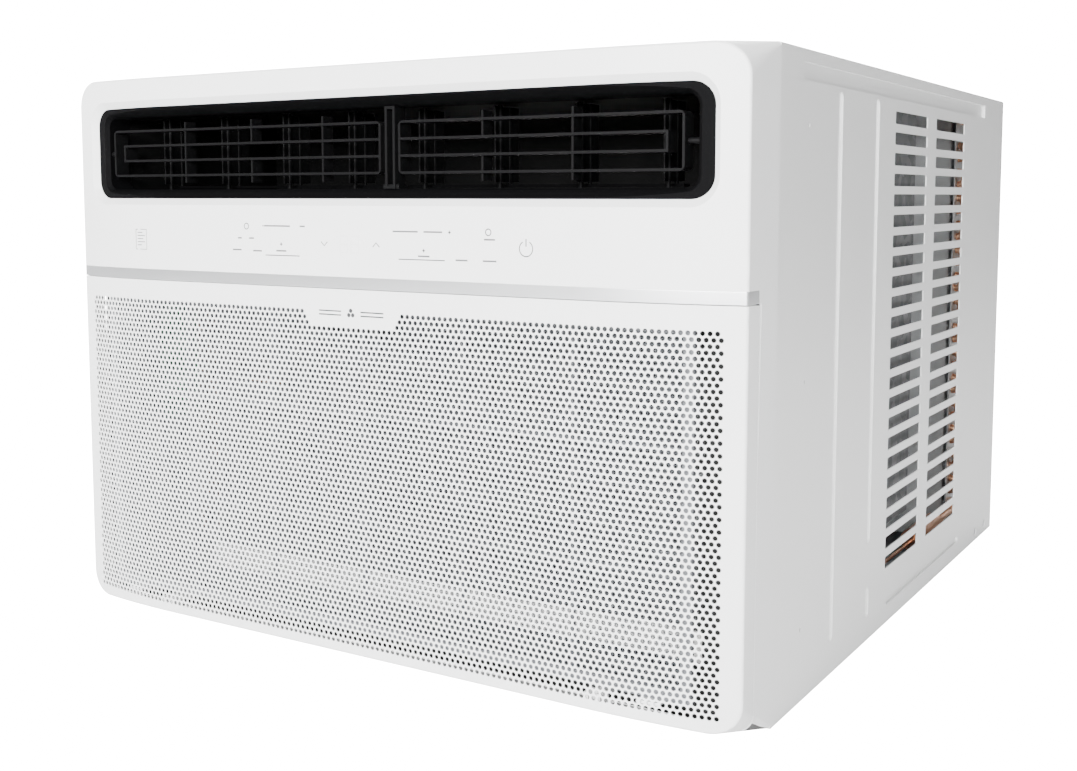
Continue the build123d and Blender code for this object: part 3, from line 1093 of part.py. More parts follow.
with BuildPart() as discharge_tube:
    add(tube(TUBE_R, [(COMP_X + 15, COMP_DEPTH, COMP_TOP), (COMP_X + 15, COMP_DEPTH, COND_IN_Z),
                      (DISCHARGE_X, COMP_DEPTH, COND_IN_Z), (DISCHARGE_X, COND_MID, COND_IN_Z),
                      (COND_HALF, COND_MID, COND_IN_Z)], 8))
save(discharge_tube, "discharge_tube")

DRIER_DEPTH = (464.0, 536.0)
with BuildPart() as filter_drier:
    add(tube(3.5, [(COND_HALF, COND_MID, COND_OUT_Z), (CAPILLARY_X, COND_MID, COND_OUT_Z),
                   (CAPILLARY_X, DRIER_DEPTH[1] - 1, COND_OUT_Z)], 6))
    rod(DRIER_R, (CAPILLARY_X, DRIER_DEPTH[0], COND_OUT_Z), (CAPILLARY_X, DRIER_DEPTH[1], COND_OUT_Z))
save(filter_drier, "filter_drier")

with BuildPart() as capillary_tube:
    add(tube(CAPILLARY_R, [(CAPILLARY_X, DRIER_DEPTH[0], COND_OUT_Z), (CAPILLARY_X, EVAP_DEPTH, COND_OUT_Z),
                           (CAPILLARY_X, EVAP_DEPTH, EVAP_IN_Z), (COIL_RIGHT, EVAP_DEPTH, EVAP_IN_Z)], 8))
save(capillary_tube, "capillary_tube")

# ================================================================ chassis: electrics
with BuildPart() as electrical_box:
    slab((BOX_LEFT, BOX_RIGHT), (BOX_FRONT, BOX_BACK), (BOX_BOTTOM, BOX_TOP))
    slab((BOX_LEFT + BOX_SHEET, BOX_RIGHT - BOX_SHEET), (BOX_FRONT - 1, BOX_BACK - BOX_SHEET),
         (BOX_BOTTOM + BOX_SHEET, BOX_TOP - BOX_SHEET), Mode.SUBTRACT)
    rod(WIRE_R, (WIRE_X, BOX_BACK - 3, WIRE_Z), (WIRE_X, BOX_BACK + 1, WIRE_Z), Mode.SUBTRACT)
save(electrical_box, "electrical_box")

with BuildPart() as control_board:
    board_x = BOX_LEFT + BOX_SHEET + 8
    slab((board_x, board_x + 1.6), (BOX_FRONT + 10, BOX_BACK - 10), (BOX_BOTTOM + 90, BOX_TOP - 14))
    for depth, z, tall in ((98, 180, 22), (129, 190, 16), (164, 176, 26), (104, 260, 18), (154, 270, 12)):
        slab((board_x + 1.6, board_x + 1.6 + tall), (depth - 12, depth + 12), (z - 10, z + 10))
save(control_board, "control_board")

with BuildPart() as run_capacitor:
    rod(CAPACITOR_R, (WIRE_X, BOX_FRONT + 52, BOX_BOTTOM + BOX_SHEET),
        (WIRE_X, BOX_FRONT + 52, BOX_BOTTOM + BOX_SHEET + CAPACITOR_TALL))
save(run_capacitor, "run_capacitor")

with BuildPart() as wiring_harness:
    add(tube(WIRE_R, [(WIRE_X, BOX_BACK - BOX_SHEET, WIRE_Z), (WIRE_X, MOTOR_FRONT + 44, WIRE_Z),
                      (WIRE_X, MOTOR_FRONT + 44, FAN_Z), (FAN_X - MOTOR_R, MOTOR_FRONT + 44, FAN_Z)], 30))
save(wiring_harness, "wiring_harness")
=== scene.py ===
"""Looks of a window air conditioner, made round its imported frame.

Metres, in the frame's own axes: +X to the right of a person facing the front, +Y from the front
to the rear, +Z up. Each sub-assembly is a class that builds and dresses its own pieces.
"""

import logging
import math
from collections.abc import Callable, Iterator
from contextlib import contextmanager
from dataclasses import dataclass, replace
from enum import Enum

import bpy
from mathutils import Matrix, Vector


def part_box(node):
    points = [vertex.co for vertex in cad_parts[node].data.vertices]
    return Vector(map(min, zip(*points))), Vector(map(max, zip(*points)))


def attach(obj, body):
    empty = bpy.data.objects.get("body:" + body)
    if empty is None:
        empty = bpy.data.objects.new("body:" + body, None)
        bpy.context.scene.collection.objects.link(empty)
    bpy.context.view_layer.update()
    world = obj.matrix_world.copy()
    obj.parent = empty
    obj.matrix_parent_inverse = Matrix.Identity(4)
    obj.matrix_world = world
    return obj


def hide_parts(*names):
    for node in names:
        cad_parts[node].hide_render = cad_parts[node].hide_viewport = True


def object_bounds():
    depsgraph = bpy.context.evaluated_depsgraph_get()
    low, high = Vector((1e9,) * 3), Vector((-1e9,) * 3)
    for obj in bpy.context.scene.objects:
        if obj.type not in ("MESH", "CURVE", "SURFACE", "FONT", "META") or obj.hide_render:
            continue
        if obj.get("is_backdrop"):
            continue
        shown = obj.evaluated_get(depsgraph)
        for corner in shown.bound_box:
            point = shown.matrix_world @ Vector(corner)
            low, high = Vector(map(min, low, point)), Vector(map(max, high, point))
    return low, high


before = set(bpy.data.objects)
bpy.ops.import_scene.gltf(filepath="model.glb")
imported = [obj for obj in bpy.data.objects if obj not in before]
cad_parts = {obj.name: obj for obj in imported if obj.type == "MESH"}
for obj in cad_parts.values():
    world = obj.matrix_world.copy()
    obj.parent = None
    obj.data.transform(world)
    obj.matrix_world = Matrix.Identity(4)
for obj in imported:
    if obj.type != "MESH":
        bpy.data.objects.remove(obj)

log = logging.getLogger("window_unit")

MM = 0.001
TOUCH = 0.002 * MM      # vertices nearer than this are one vertex

UPRIGHT = (math.pi / 2, 0.0, 0.0)       # turns a flat primitive to face the front
SIDEWAYS = (0.0, math.pi / 2, 0.0)      # turns it to face a side

DUST_TONE = (0.42, 0.40, 0.37, 1.0)
PAINTED_SHADE_TONE = (0.03, 0.03, 0.03, 1.0)   # painted shade: the moulding's colour deep in the recess behind the inlet panel, where shade falls

Point = tuple[float, float, float]
Colour = tuple[float, float, float]
Piece = bpy.types.Object
Socket = bpy.types.NodeSocket


# ---------------------------------------------------------------- modelling moves
def hold(*pieces: Piece) -> None:
    """Select only these pieces and make the first one active."""
    if bpy.context.object and bpy.context.object.mode != "OBJECT":
        bpy.ops.object.mode_set(mode="OBJECT")
    bpy.ops.object.select_all(action="DESELECT")
    for piece in pieces:
        piece.select_set(True)
    bpy.context.view_layer.objects.active = pieces[0]


def start(name: str) -> Piece:
    """Make an empty mesh piece at the origin, ready for edit mode.

    Args:
        name: name of the new piece.

    Returns:
        The piece, selected and active.
    """
    piece = bpy.data.objects.new(name, bpy.data.meshes.new(name))
    bpy.context.scene.collection.objects.link(piece)
    hold(piece)
    return piece


@contextmanager
def editing(piece: Piece, level: str = "VERT") -> Iterator[None]:
    """Work on a piece in edit mode, with vertices, edges or faces as the selection level."""
    hold(piece)
    bpy.ops.object.mode_set(mode="EDIT")
    bpy.ops.mesh.select_mode(type=level)
    yield
    bpy.ops.object.mode_set(mode="OBJECT")


def pick(piece: Piece, test: Callable[[Vector], bool]) -> None:
    """Select the vertices of a piece, out of edit mode, whose place passes a test."""
    mesh = piece.data
    mesh.polygons.foreach_set("select", [False] * len(mesh.polygons))
    mesh.edges.foreach_set("select", [False] * len(mesh.edges))
    mesh.vertices.foreach_set("select", [test(v.co) for v in mesh.vertices])


def apply(piece: Piece, kind: str, **settings: object) -> Piece:
    """Add one modifier to a piece, set it and apply it.

    Args:
        piece: the piece to change.
        kind: Blender's name for the modifier.
        **settings: the modifier's own values.

    Returns:
        The same piece.
    """
    hold(piece)
    modifier = piece.modifiers.new(kind.title(), kind)
    for name, value in settings.items():
        setattr(modifier, name, value)
    bpy.ops.object.modifier_apply(modifier=modifier.name)
    return piece


def repeat(piece: Piece, count: int, step: Point) -> Piece:
    """Repeat a piece's mesh along a straight line of equal steps."""
    return apply(piece, "ARRAY", count=count, use_relative_offset=False,
                 use_constant_offset=True, constant_offset_displace=step)


def join(name: str, *pieces: Piece) -> Piece:
    """Join pieces into the first one and name the result."""
    hold(*pieces)
    if len(pieces) > 1:
        bpy.ops.object.join()
    pieces[0].name = name
    return pieces[0]


def weld(piece: Piece, distance: float = TOUCH) -> None:
    """Merge the vertices of a piece that lie on each other."""
    with editing(piece):
        bpy.ops.mesh.select_all(action="SELECT")
        bpy.ops.mesh.remove_doubles(threshold=distance)


def smooth(piece: Piece, degrees: float = 35.0, weighted: bool = True) -> Piece:
    """Shade a piece smooth across shallow edges, its large flat faces staying flat."""
    hold(piece)
    bpy.ops.object.shade_smooth_by_angle(angle=math.radians(degrees))
    if weighted:
        apply(piece, "WEIGHTED_NORMAL", keep_sharp=True, weight=60)
    return piece


def ease(piece: Piece, width: float, segments: int = 2, degrees: float = 40.0) -> Piece:
    """Round the sharp edges of a piece by a small width."""
    return apply(piece, "BEVEL", width=width, segments=segments, limit_method="ANGLE",
                 angle_limit=math.radians(degrees), use_clamp_overlap=True)


def grid(columns: int, rows: int, place: Point, turn: Point, sides: Point) -> None:
    """Add a flat grid to the mesh in edit mode.

    Args:
        columns: cells along its own X.
        rows: cells along its own Y.
        place: its middle.
        turn: its rotation.
        sides: its size along the frame's X, Y and Z, with 1 where it is flat.
    """
    bpy.ops.mesh.primitive_grid_add(x_subdivisions=columns, y_subdivisions=rows, size=1,
                                    location=place, rotation=turn)
    bpy.ops.transform.resize(value=sides, center_override=place)


def block(low: Point, high: Point) -> None:
    """Add a box between two corners to the mesh in edit mode."""
    middle = [(a + b) / 2 for a, b in zip(low, high)]
    sides = [b - a for a, b in zip(low, high)]
    bpy.ops.mesh.primitive_cube_add(size=1, location=middle, scale=sides)


def bar(radius: float, begin: Point, end: Point, sides: int = 24) -> None:
    """Add a closed round bar between two points to the mesh in edit mode."""
    a, b = Vector(begin), Vector(end)
    turn = (b - a).to_track_quat("Z", "Y").to_euler()
    bpy.ops.mesh.primitive_cylinder_add(vertices=sides, radius=radius, depth=(b - a).length,
                                        location=(a + b) / 2, rotation=turn)


def copy_of(node: str, name: str, flat_degrees: float = 0.2) -> Piece:
    """Copy a CAD node into a free piece with one clean, joined-up mesh.

    Args:
        node: name of the CAD node.
        name: name of the copy.
        flat_degrees: faces that meet at less than this become one face.

    Returns:
        The copy, at the origin.
    """
    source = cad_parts[node]
    piece = start(name)
    piece.data = source.data.copy()
    piece.data.materials.clear()
    hold(piece)
    bpy.ops.mesh.customdata_custom_splitnormals_clear()
    with editing(piece):
        bpy.ops.mesh.select_all(action="SELECT")
        bpy.ops.mesh.remove_doubles(threshold=TOUCH)
        bpy.ops.mesh.dissolve_limited(angle_limit=math.radians(flat_degrees))
    return piece


# ---------------------------------------------------------------- finishes
class Wiring:
    """Adds the nodes of one shader tree and joins them."""

    def __init__(self, tree: bpy.types.NodeTree) -> None:
        """Work on a tree."""
        self.tree = tree

    def add(self, kind: str, inputs: dict[str | int, object] | None = None,
            **settings: object) -> bpy.types.Node:
        """Add a node.

        Args:
            kind: node type after "ShaderNode".
            inputs: what each input socket is joined to or set to.
            **settings: the node's own options.

        Returns:
            The new node.
        """
        node = self.tree.nodes.new("ShaderNode" + kind)
        for name, value in settings.items():
            setattr(node, name, value)
        for key, value in (inputs or {}).items():
            if isinstance(value, bpy.types.NodeSocket):
                self.tree.links.new(value, node.inputs[key])
            else:
                node.inputs[key].default_value = value
        return node

    def maths(self, operation: str, first: object, second: object = 0.0) -> Socket:
        """Add a Math node and return its result."""
        return self.add("Math", {0: first, 1: second}, operation=operation).outputs[0]

    def blend(self, factor: object, first: object, second: object) -> Socket:
        """Mix two colours and return the result."""
        return self.add("Mix", {0: factor, 6: first, 7: second}, data_type="RGBA").outputs[2]

    def between(self, value: object, low: float, high: float) -> Socket:
        """Spread a mask from 0..1 over low..high and return the result."""
        return self.add("MapRange", {"Value": value, "To Min": low, "To Max": high}).outputs[0]


class Effect:
    """Base of the shader groups that several finishes share."""

    title: str = ""
    inputs: dict[str, float] = {}
    outputs: tuple[str, ...] = ("Height", "Tone")

    @classmethod
    def group(cls) -> bpy.types.NodeTree:
        """Return the effect's group, which is built the first time that it is asked for."""
        if cls.title in bpy.data.node_groups:
            return bpy.data.node_groups[cls.title]
        tree = bpy.data.node_groups.new(cls.title, "ShaderNodeTree")
        for name, value in cls.inputs.items():
            socket = tree.interface.new_socket(name=name, in_out="INPUT", socket_type="NodeSocketFloat")
            socket.default_value = value
        for name in cls.outputs:
            tree.interface.new_socket(name=name, in_out="OUTPUT", socket_type="NodeSocketFloat")
        wires = Wiring(tree)
        given = tree.nodes.new("NodeGroupInput")
        result = tree.nodes.new("NodeGroupOutput")
        for name, socket in cls.draw(wires, given.outputs).items():
            tree.links.new(socket, result.inputs[name])
        return tree

    @classmethod
    def draw(cls, wires: Wiring, given: bpy.types.NodeOutputs) -> dict[str, Socket]:
        """Lay out the group's nodes and return the socket of each output."""
        raise NotImplementedError

    @classmethod
    def place(cls, wires: Wiring, **values: float) -> bpy.types.NodeOutputs:
        """Put the group into a material with its own values and return its outputs."""
        node = wires.add("Group", node_tree=cls.group())
        for name, value in values.items():
            node.inputs[name.replace("_", " ").title()].default_value = value
        return node.outputs


class Grain(Effect):
    """Fine sprayed or moulded texture, with a slow drift of tone."""

    title = "fine grain"
    inputs = {"Size": 0.6 * MM}

    @classmethod
    def draw(cls, wires: Wiring, given: bpy.types.NodeOutputs) -> dict[str, Socket]:
        """Noise at the grain's size, and a slow one for the tone."""
        place = wires.add("TexCoord").outputs["Object"]
        scale = wires.maths("DIVIDE", 1.0, given["Size"])
        fine = wires.add("TexNoise", {"Vector": place, "Scale": scale, "Detail": 2.0})
        slow = wires.add("TexNoise", {"Vector": place, "Scale": 7.0, "Detail": 4.0})
        return {"Height": fine.outputs["Fac"], "Tone": slow.outputs["Fac"]}


class Brushing(Effect):
    """Long fine lines along X, as on rolled or brushed metal."""

    title = "brushed lines"
    inputs = {"Size": 0.3 * MM}

    @classmethod
    def draw(cls, wires: Wiring, given: bpy.types.NodeOutputs) -> dict[str, Socket]:
        """Noise drawn out along X, finer for the height than for the tone."""
        place = wires.add("TexCoord").outputs["Object"]
        drawn = wires.add("Mapping", {"Vector": place, "Scale": (0.02, 1.0, 1.0)}).outputs[0]
        scale = wires.maths("DIVIDE", 1.0, given["Size"])
        fine = wires.add("TexNoise", {"Vector": drawn, "Scale": scale, "Detail": 3.0})
        wide = wires.add("TexNoise", {"Vector": drawn, "Scale": 180.0, "Detail": 3.0})
        return {"Height": fine.outputs["Fac"], "Tone": wide.outputs["Fac"]}


class Spangle(Effect):
    """Flat crystals of galvanised steel, or the beads of moulded foam."""

    title = "crystals"
    inputs = {"Size": 8 * MM}

    @classmethod
    def draw(cls, wires: Wiring, given: bpy.types.NodeOutputs) -> dict[str, Socket]:
        """Cells with a tone each, raised in the middle."""
        place = wires.add("TexCoord").outputs["Object"]
        scale = wires.maths("DIVIDE", 1.0, given["Size"])
        cells = wires.add("TexVoronoi", {"Vector": place, "Scale": scale, "Randomness": 1.0})
        rim = wires.add("TexVoronoi", {"Vector": place, "Scale": scale}, feature="DISTANCE_TO_EDGE")
        tone = wires.add("SeparateColor", {0: cells.outputs["Color"]}).outputs[0]
        return {"Height": rim.outputs["Distance"], "Tone": tone}


class Tracks(Effect):
    """Copper tracks and lands under the mask of a circuit board."""

    title = "board tracks"
    inputs = {"Size": 5 * MM}

    @classmethod
    def draw(cls, wires: Wiring, given: bpy.types.NodeOutputs) -> dict[str, Socket]:
        """Edges of square cells, as tracks."""
        place = wires.add("TexCoord").outputs["Object"]
        scale = wires.maths("DIVIDE", 1.0, given["Size"])
        cells = wires.add("TexVoronoi", {"Vector": place, "Scale": scale}, distance="CHEBYCHEV",
                          feature="F1")
        ring = wires.maths("PINGPONG", wires.maths("MULTIPLY", cells.outputs["Distance"], 4.0), 1.0)
        line = wires.maths("GREATER_THAN", ring, 0.62)
        return {"Height": line, "Tone": line}


class Dust(Effect):
    """Thin dust that lies on what faces up, in soft patches."""

    title = "dust film"
    inputs = {"Amount": 0.2}
    outputs = ("Mask",)

    @classmethod
    def draw(cls, wires: Wiring, given: bpy.types.NodeOutputs) -> dict[str, Socket]:
        """Upward normals, times slow noise, times the amount."""
        place = wires.add("TexCoord").outputs["Object"]
        normal = wires.add("NewGeometry").outputs["Normal"]
        rise = wires.add("SeparateXYZ", {0: normal}).outputs["Z"]
        lying = wires.add("MapRange", {"Value": rise, "From Min": -0.2, "From Max": 1.0}).outputs[0]
        patches = wires.add("TexNoise", {"Vector": place, "Scale": 22.0, "Detail": 5.0}).outputs["Fac"]
        settled = wires.maths("MULTIPLY", wires.maths("ADD", lying, 0.25), patches)
        return {"Mask": wires.maths("MULTIPLY", settled, given["Amount"])}


class Wear(Effect):
    """Rubbed edges, broken up by noise."""

    title = "rubbed edges"
    inputs = {"Amount": 0.3, "Width": 0.8 * MM}
    outputs = ("Mask",)

    @classmethod
    def draw(cls, wires: Wiring, given: bpy.types.NodeOutputs) -> dict[str, Socket]:
        """Where a rounded normal leaves the true one, broken up by noise."""
        place = wires.add("TexCoord").outputs["Object"]
        rounded = wires.add("Bevel", {"Radius": given["Width"]}, samples=4).outputs["Normal"]
        true = wires.add("NewGeometry").outputs["Normal"]
        match = wires.add("VectorMath", {0: rounded, 1: true}, operation="DOT_PRODUCT").outputs["Value"]
        edge = wires.add("MapRange", {"Value": match, "From Min": 0.99, "From Max": 0.80}).outputs[0]
        breaks = wires.add("TexNoise", {"Vector": place, "Scale": 160.0, "Detail": 4.0}).outputs["Fac"]
        worn = wires.maths("MULTIPLY", edge, breaks)
        return {"Mask": wires.maths("MULTIPLY", worn, given["Amount"])}


class PaintedRecessShade(Effect):
    """Painted shade: darkens the moulding in the recess behind an opening panel, where shade falls."""

    title = "painted recess shade"
    inputs = {"Back": 0.0, "Top": 0.0, "Half": 0.0}
    outputs = ("Mask",)

    @classmethod
    def draw(cls, wires: Wiring, given: bpy.types.NodeOutputs) -> dict[str, Socket]:
        """Behind one depth, below one height and within a half width."""
        place = wires.add("TexCoord").outputs["Object"]
        split = wires.add("SeparateXYZ", {0: place}).outputs
        behind = wires.maths("GREATER_THAN", split["Y"], given["Back"])
        below = wires.maths("LESS_THAN", split["Z"], given["Top"])
        within = wires.maths("LESS_THAN", wires.maths("ABSOLUTE", split["X"]), given["Half"])
        return {"Mask": wires.maths("MULTIPLY", wires.maths("MULTIPLY", behind, below), within)}


class Pattern(Enum):
    """Which effect gives a finish its texture."""

    GRAIN = Grain
    BRUSHED = Brushing
    SPANGLE = Spangle
    TRACKS = Tracks


@dataclass(frozen=True)
class Finish:
    """One surface finish, and the material slot that it stands for.

    Attributes:
        slot: name of its material slot.
        colour: main colour, linear.
        shift: how much darker the second tone is.
        rough: lowest and highest roughness.
        pattern: the texture's kind.
        size: the texture's size in metres.
        relief: the texture's depth in metres.
        metallic: 1 for bare metal.
        coat: weight of a clear coat.
        gloss: strength of the plain reflection, 0.5 for ordinary plastic or paint.
        dust: amount of dust.
        wear: amount of edge wear.
        bare: colour under the worn edges.
        recess: depth, height and half width that bound a recess painted with shade, if it has one.
        title: own name, where two finishes share a slot.
    """

    slot: str
    colour: Colour
    shift: float = 0.04
    rough: tuple[float, float] = (0.4, 0.5)
    pattern: Pattern = Pattern.GRAIN
    size: float = 0.6 * MM
    relief: float = 0.02 * MM
    metallic: float = 0.0
    coat: float = 0.0
    gloss: float = 0.5
    dust: float = 0.0
    wear: float = 0.0
    bare: Colour = (0.55, 0.55, 0.56)
    recess: Point | None = None
    title: str = ""

    def material(self) -> bpy.types.Material:
        """Return the finish's material, which is built the first time that it is asked for."""
        name = self.title or self.slot
        if name in bpy.data.materials:
            return bpy.data.materials[name]
        material = bpy.data.materials.new(name)
        material.use_nodes = True
        material.node_tree.nodes.clear()
        wires = Wiring(material.node_tree)
        texture = self.pattern.value.place(wires, size=self.size)
        darker = [c * (1 - self.shift) for c in self.colour]
        colour = wires.blend(texture["Tone"], (*self.colour, 1.0), (*darker, 1.0))
        rough = wires.between(texture["Tone"], *self.rough)
        # Painted shade: the moulding turns near black inside the recess behind the inlet panel.
        if self.recess:
            back, top, half = self.recess
            painted_shade = PaintedRecessShade.place(wires, back=back, top=top, half=half)["Mask"]
            colour = wires.blend(painted_shade, colour, PAINTED_SHADE_TONE)
        if self.wear:
            worn = Wear.place(wires, amount=self.wear)["Mask"]
            colour = wires.blend(worn, colour, (*self.bare, 1.0))
        if self.dust:
            dusty = Dust.place(wires, amount=self.dust)["Mask"]
            colour = wires.blend(dusty, colour, DUST_TONE)
            rough = wires.maths("ADD", rough, wires.maths("MULTIPLY", dusty, 0.4))
        bump = wires.add("Bump", {"Height": texture["Height"], "Strength": 1.0, "Distance": self.relief})
        shader = wires.add("BsdfPrincipled", {
            "Base Color": colour, "Roughness": rough, "Metallic": self.metallic,
            "Specular IOR Level": self.gloss, "Coat Weight": self.coat, "Coat Roughness": 0.12,
            "Normal": bump.outputs["Normal"]})
        wires.add("OutputMaterial", {"Surface": shader.outputs[0]})
        return material


FRONT_WHITE = Finish("front_plastic", (0.83, 0.835, 0.835), 0.02, (0.36, 0.42), size=0.9 * MM,
                     relief=0.012 * MM, dust=0.02)
PANEL_WHITE = Finish("front_plastic", (0.83, 0.835, 0.835), 0.02, (0.42, 0.48), size=0.5 * MM,
                     relief=0.01 * MM, title="panel_plastic")
CABINET_PAINT = Finish("cabinet_paint", (0.70, 0.70, 0.69), 0.03, (0.42, 0.52), size=1.4 * MM,
                       relief=0.03 * MM, dust=0.05, wear=0.12, bare=(0.8, 0.8, 0.8))
TRIM_SILVER = Finish("silver_trim", (0.60, 0.61, 0.62), 0.08, (0.26, 0.36), Pattern.BRUSHED,
                     relief=0.006 * MM, metallic=0.55)
OUTLET_BLACK = Finish("black_plastic", (0.003, 0.003, 0.0033), 0.25, (0.6, 0.7), size=0.5 * MM,
                      relief=0.01 * MM, gloss=0.025, title="outlet_plastic")
LOUVER_BLACK = Finish("black_plastic", (0.005, 0.005, 0.0053), 0.25, (0.4, 0.5), size=0.5 * MM,
                      relief=0.01 * MM, gloss=0.06, title="louver_plastic")
DUCT_BLACK = Finish("black_plastic", (0.004, 0.004, 0.004), 0.25, (0.6, 0.7), size=0.8 * MM,
                    relief=0.02 * MM, gloss=0.12, title="duct_plastic")
DARK_PLASTIC = Finish("dark_plastic", (0.045, 0.045, 0.05), 0.2, (0.45, 0.6), size=0.7 * MM,
                      relief=0.03 * MM, dust=0.08)
GREY_PLASTIC = Finish("grey_plastic", (0.008, 0.008, 0.009), 0.1, (0.5, 0.62), size=0.8 * MM,
                      relief=0.03 * MM, dust=0.1)
FILTER_PLASTIC = Finish("filter_plastic", (0.018, 0.02, 0.022), 0.15, (0.48, 0.6), relief=0.02 * MM)
FILTER_NET = Finish("filter_net", (0.015, 0.017, 0.02), 0.3, (0.6, 0.75), size=0.4 * MM,
                    relief=0.04 * MM)
WHITE_FOAM = Finish("white_foam", (0.80, 0.80, 0.79), 0.06, (0.75, 0.9), Pattern.SPANGLE,
                    size=3.2 * MM, relief=0.25 * MM, dust=0.1)
SEAL_FOAM = Finish("foam_seal", (0.04, 0.04, 0.045), 0.3, (0.85, 0.95), Pattern.SPANGLE,
                   size=1.2 * MM, relief=0.25 * MM)
RUBBER = Finish("black_rubber", (0.02, 0.02, 0.02), 0.3, (0.6, 0.8), size=0.4 * MM,
                relief=0.03 * MM, dust=0.06)
GALVANISED = Finish("galvanised_steel", (0.52, 0.53, 0.54), 0.22, (0.32, 0.52), Pattern.SPANGLE,
                    size=9 * MM, relief=0.004 * MM, metallic=0.9, dust=0.12)
# Painted shade: a darker copy of the galvanised steel, for the side baffle that stands in shade behind
# the vents.
SHADED_BAFFLE_STEEL = Finish("galvanised_steel", (0.16, 0.165, 0.17), 0.25, (0.45, 0.65), Pattern.SPANGLE,
                      size=9 * MM, relief=0.004 * MM, metallic=0.6, dust=0.2, title="shaded_baffle_steel")
SCREW_STEEL = Finish("screw_steel", (0.56, 0.56, 0.57), 0.15, (0.25, 0.4), Pattern.BRUSHED,
                     relief=0.004 * MM, metallic=1.0)
FIN_METAL = Finish("coil_aluminium", (0.62, 0.63, 0.64), 0.12, (0.3, 0.45), Pattern.BRUSHED,
                   relief=0.004 * MM, metallic=0.95, dust=0.05)
COPPER = Finish("copper_tube", (0.40, 0.19, 0.11), 0.35, (0.35, 0.55), size=3 * MM,
                relief=0.01 * MM, metallic=1.0, dust=0.08)
BRONZE = Finish("bearing_bronze", (0.45, 0.31, 0.14), 0.2, (0.35, 0.5), relief=0.01 * MM,
                metallic=1.0)
MOTOR_PAINT = Finish("motor_paint", (0.16, 0.17, 0.18), 0.12, (0.35, 0.5), size=1.2 * MM,
                     relief=0.04 * MM, coat=0.2, dust=0.1, wear=0.5)
BLACK_PAINT = Finish("black_paint", (0.014, 0.014, 0.016), 0.3, (0.25, 0.4), size=1.5 * MM,
                     relief=0.05 * MM, coat=0.35, dust=0.12, wear=0.5)
BOARD = Finish("circuit_board", (0.02, 0.13, 0.05), -0.9, (0.3, 0.45), Pattern.TRACKS,
               size=5 * MM, relief=0.03 * MM)
CAPACITOR_CAN = Finish("capacitor_can", (0.62, 0.63, 0.64), 0.12, (0.25, 0.4), Pattern.BRUSHED,
                       relief=0.005 * MM, metallic=1.0)
SENSOR = Finish("sensor_copper", (0.60, 0.30, 0.18), 0.2, (0.3, 0.45), relief=0.01 * MM,
                metallic=1.0)
MARK_INK = Finish("front_plastic", (0.03, 0.03, 0.032), 0.1, (0.5, 0.6), title="control_ink")
UNLIT_DIGITS = Finish("front_plastic", (0.77, 0.775, 0.775), title="unlit_digits")
FAINT_INK = Finish("front_plastic", (0.12, 0.12, 0.12), 0.05, (0.4, 0.5), title="faint_ink")


# ---------------------------------------------------------------- base of the sub-assemblies
@dataclass
class SubAssembly:
    """Pieces that are dressed together.

    Attributes:
        body: the body that they ride on.
    """

    body: str = "housing"

    def carry(self, finish: Finish, *nodes: str) -> None:
        """Keep CAD nodes as they are and give them a finish."""
        for node in nodes:
            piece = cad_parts[node]
            piece.data.materials.clear()
            piece.data.materials.append(finish.material())
            log.info("kept %s in %s", node, finish.title or finish.slot)

    def place(self, piece: Piece, finish: Finish, *stands_for: str, body: str = "") -> Piece:
        """Dress a finished piece and put it on its body.

        Args:
            piece: the finished piece.
            finish: its finish.
            *stands_for: CAD nodes that it replaces.
            body: body to ride on, where it isn't the sub-assembly's own.

        Returns:
            The same piece.
        """
        piece.data.materials.clear()
        piece.data.materials.append(finish.material())
        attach(piece, body or self.body)
        if stands_for:
            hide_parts(*stands_for)
        log.info("built %s, %d faces, on %s", piece.name, len(piece.data.polygons), body or self.body)
        return piece

    def eased(self, node: str, finish: Finish, width: float, segments: int = 2,
              body: str = "") -> Piece:
        """Replace a CAD node by a copy of itself with softened edges.

        Args:
            node: name of the CAD node.
            finish: its finish.
            width: width of the softened edge.
            segments: steps round that edge.
            body: body to ride on, where it isn't the sub-assembly's own.

        Returns:
            The new piece.
        """
        piece = copy_of(node, f"{node}_shell")
        ease(piece, width, segments)
        smooth(piece)
        return self.place(piece, finish, node, body=body)


# ---------------------------------------------------------------- the front's shared curve
@dataclass(frozen=True)
class FrontCurve:
    """Plan curve that the whole front follows: flat in the middle, bowed back at both ends.

    Attributes:
        half: half width of the front.
        flat_half: half width of its flat middle.
        setback: how far its ends lie behind the middle.
    """

    half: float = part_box("fascia")[1].x
    flat_half: float = 190 * MM
    setback: float = 14 * MM

    def behind(self, x: float) -> float:
        """Return how far the front lies behind its middle at an x."""
        reach = self.half - self.flat_half
        radius = (reach ** 2 + self.setback ** 2) / (2 * self.setback)
        past = max(0.0, abs(x) - self.flat_half)
        return radius - math.sqrt(radius ** 2 - past ** 2)

    def press(self, piece: Piece) -> None:
        """Move a flat piece's vertices back onto the curve."""
        for vertex in piece.data.vertices:
            vertex.co.y += self.behind(vertex.co.x)


CURVE = FrontCurve()


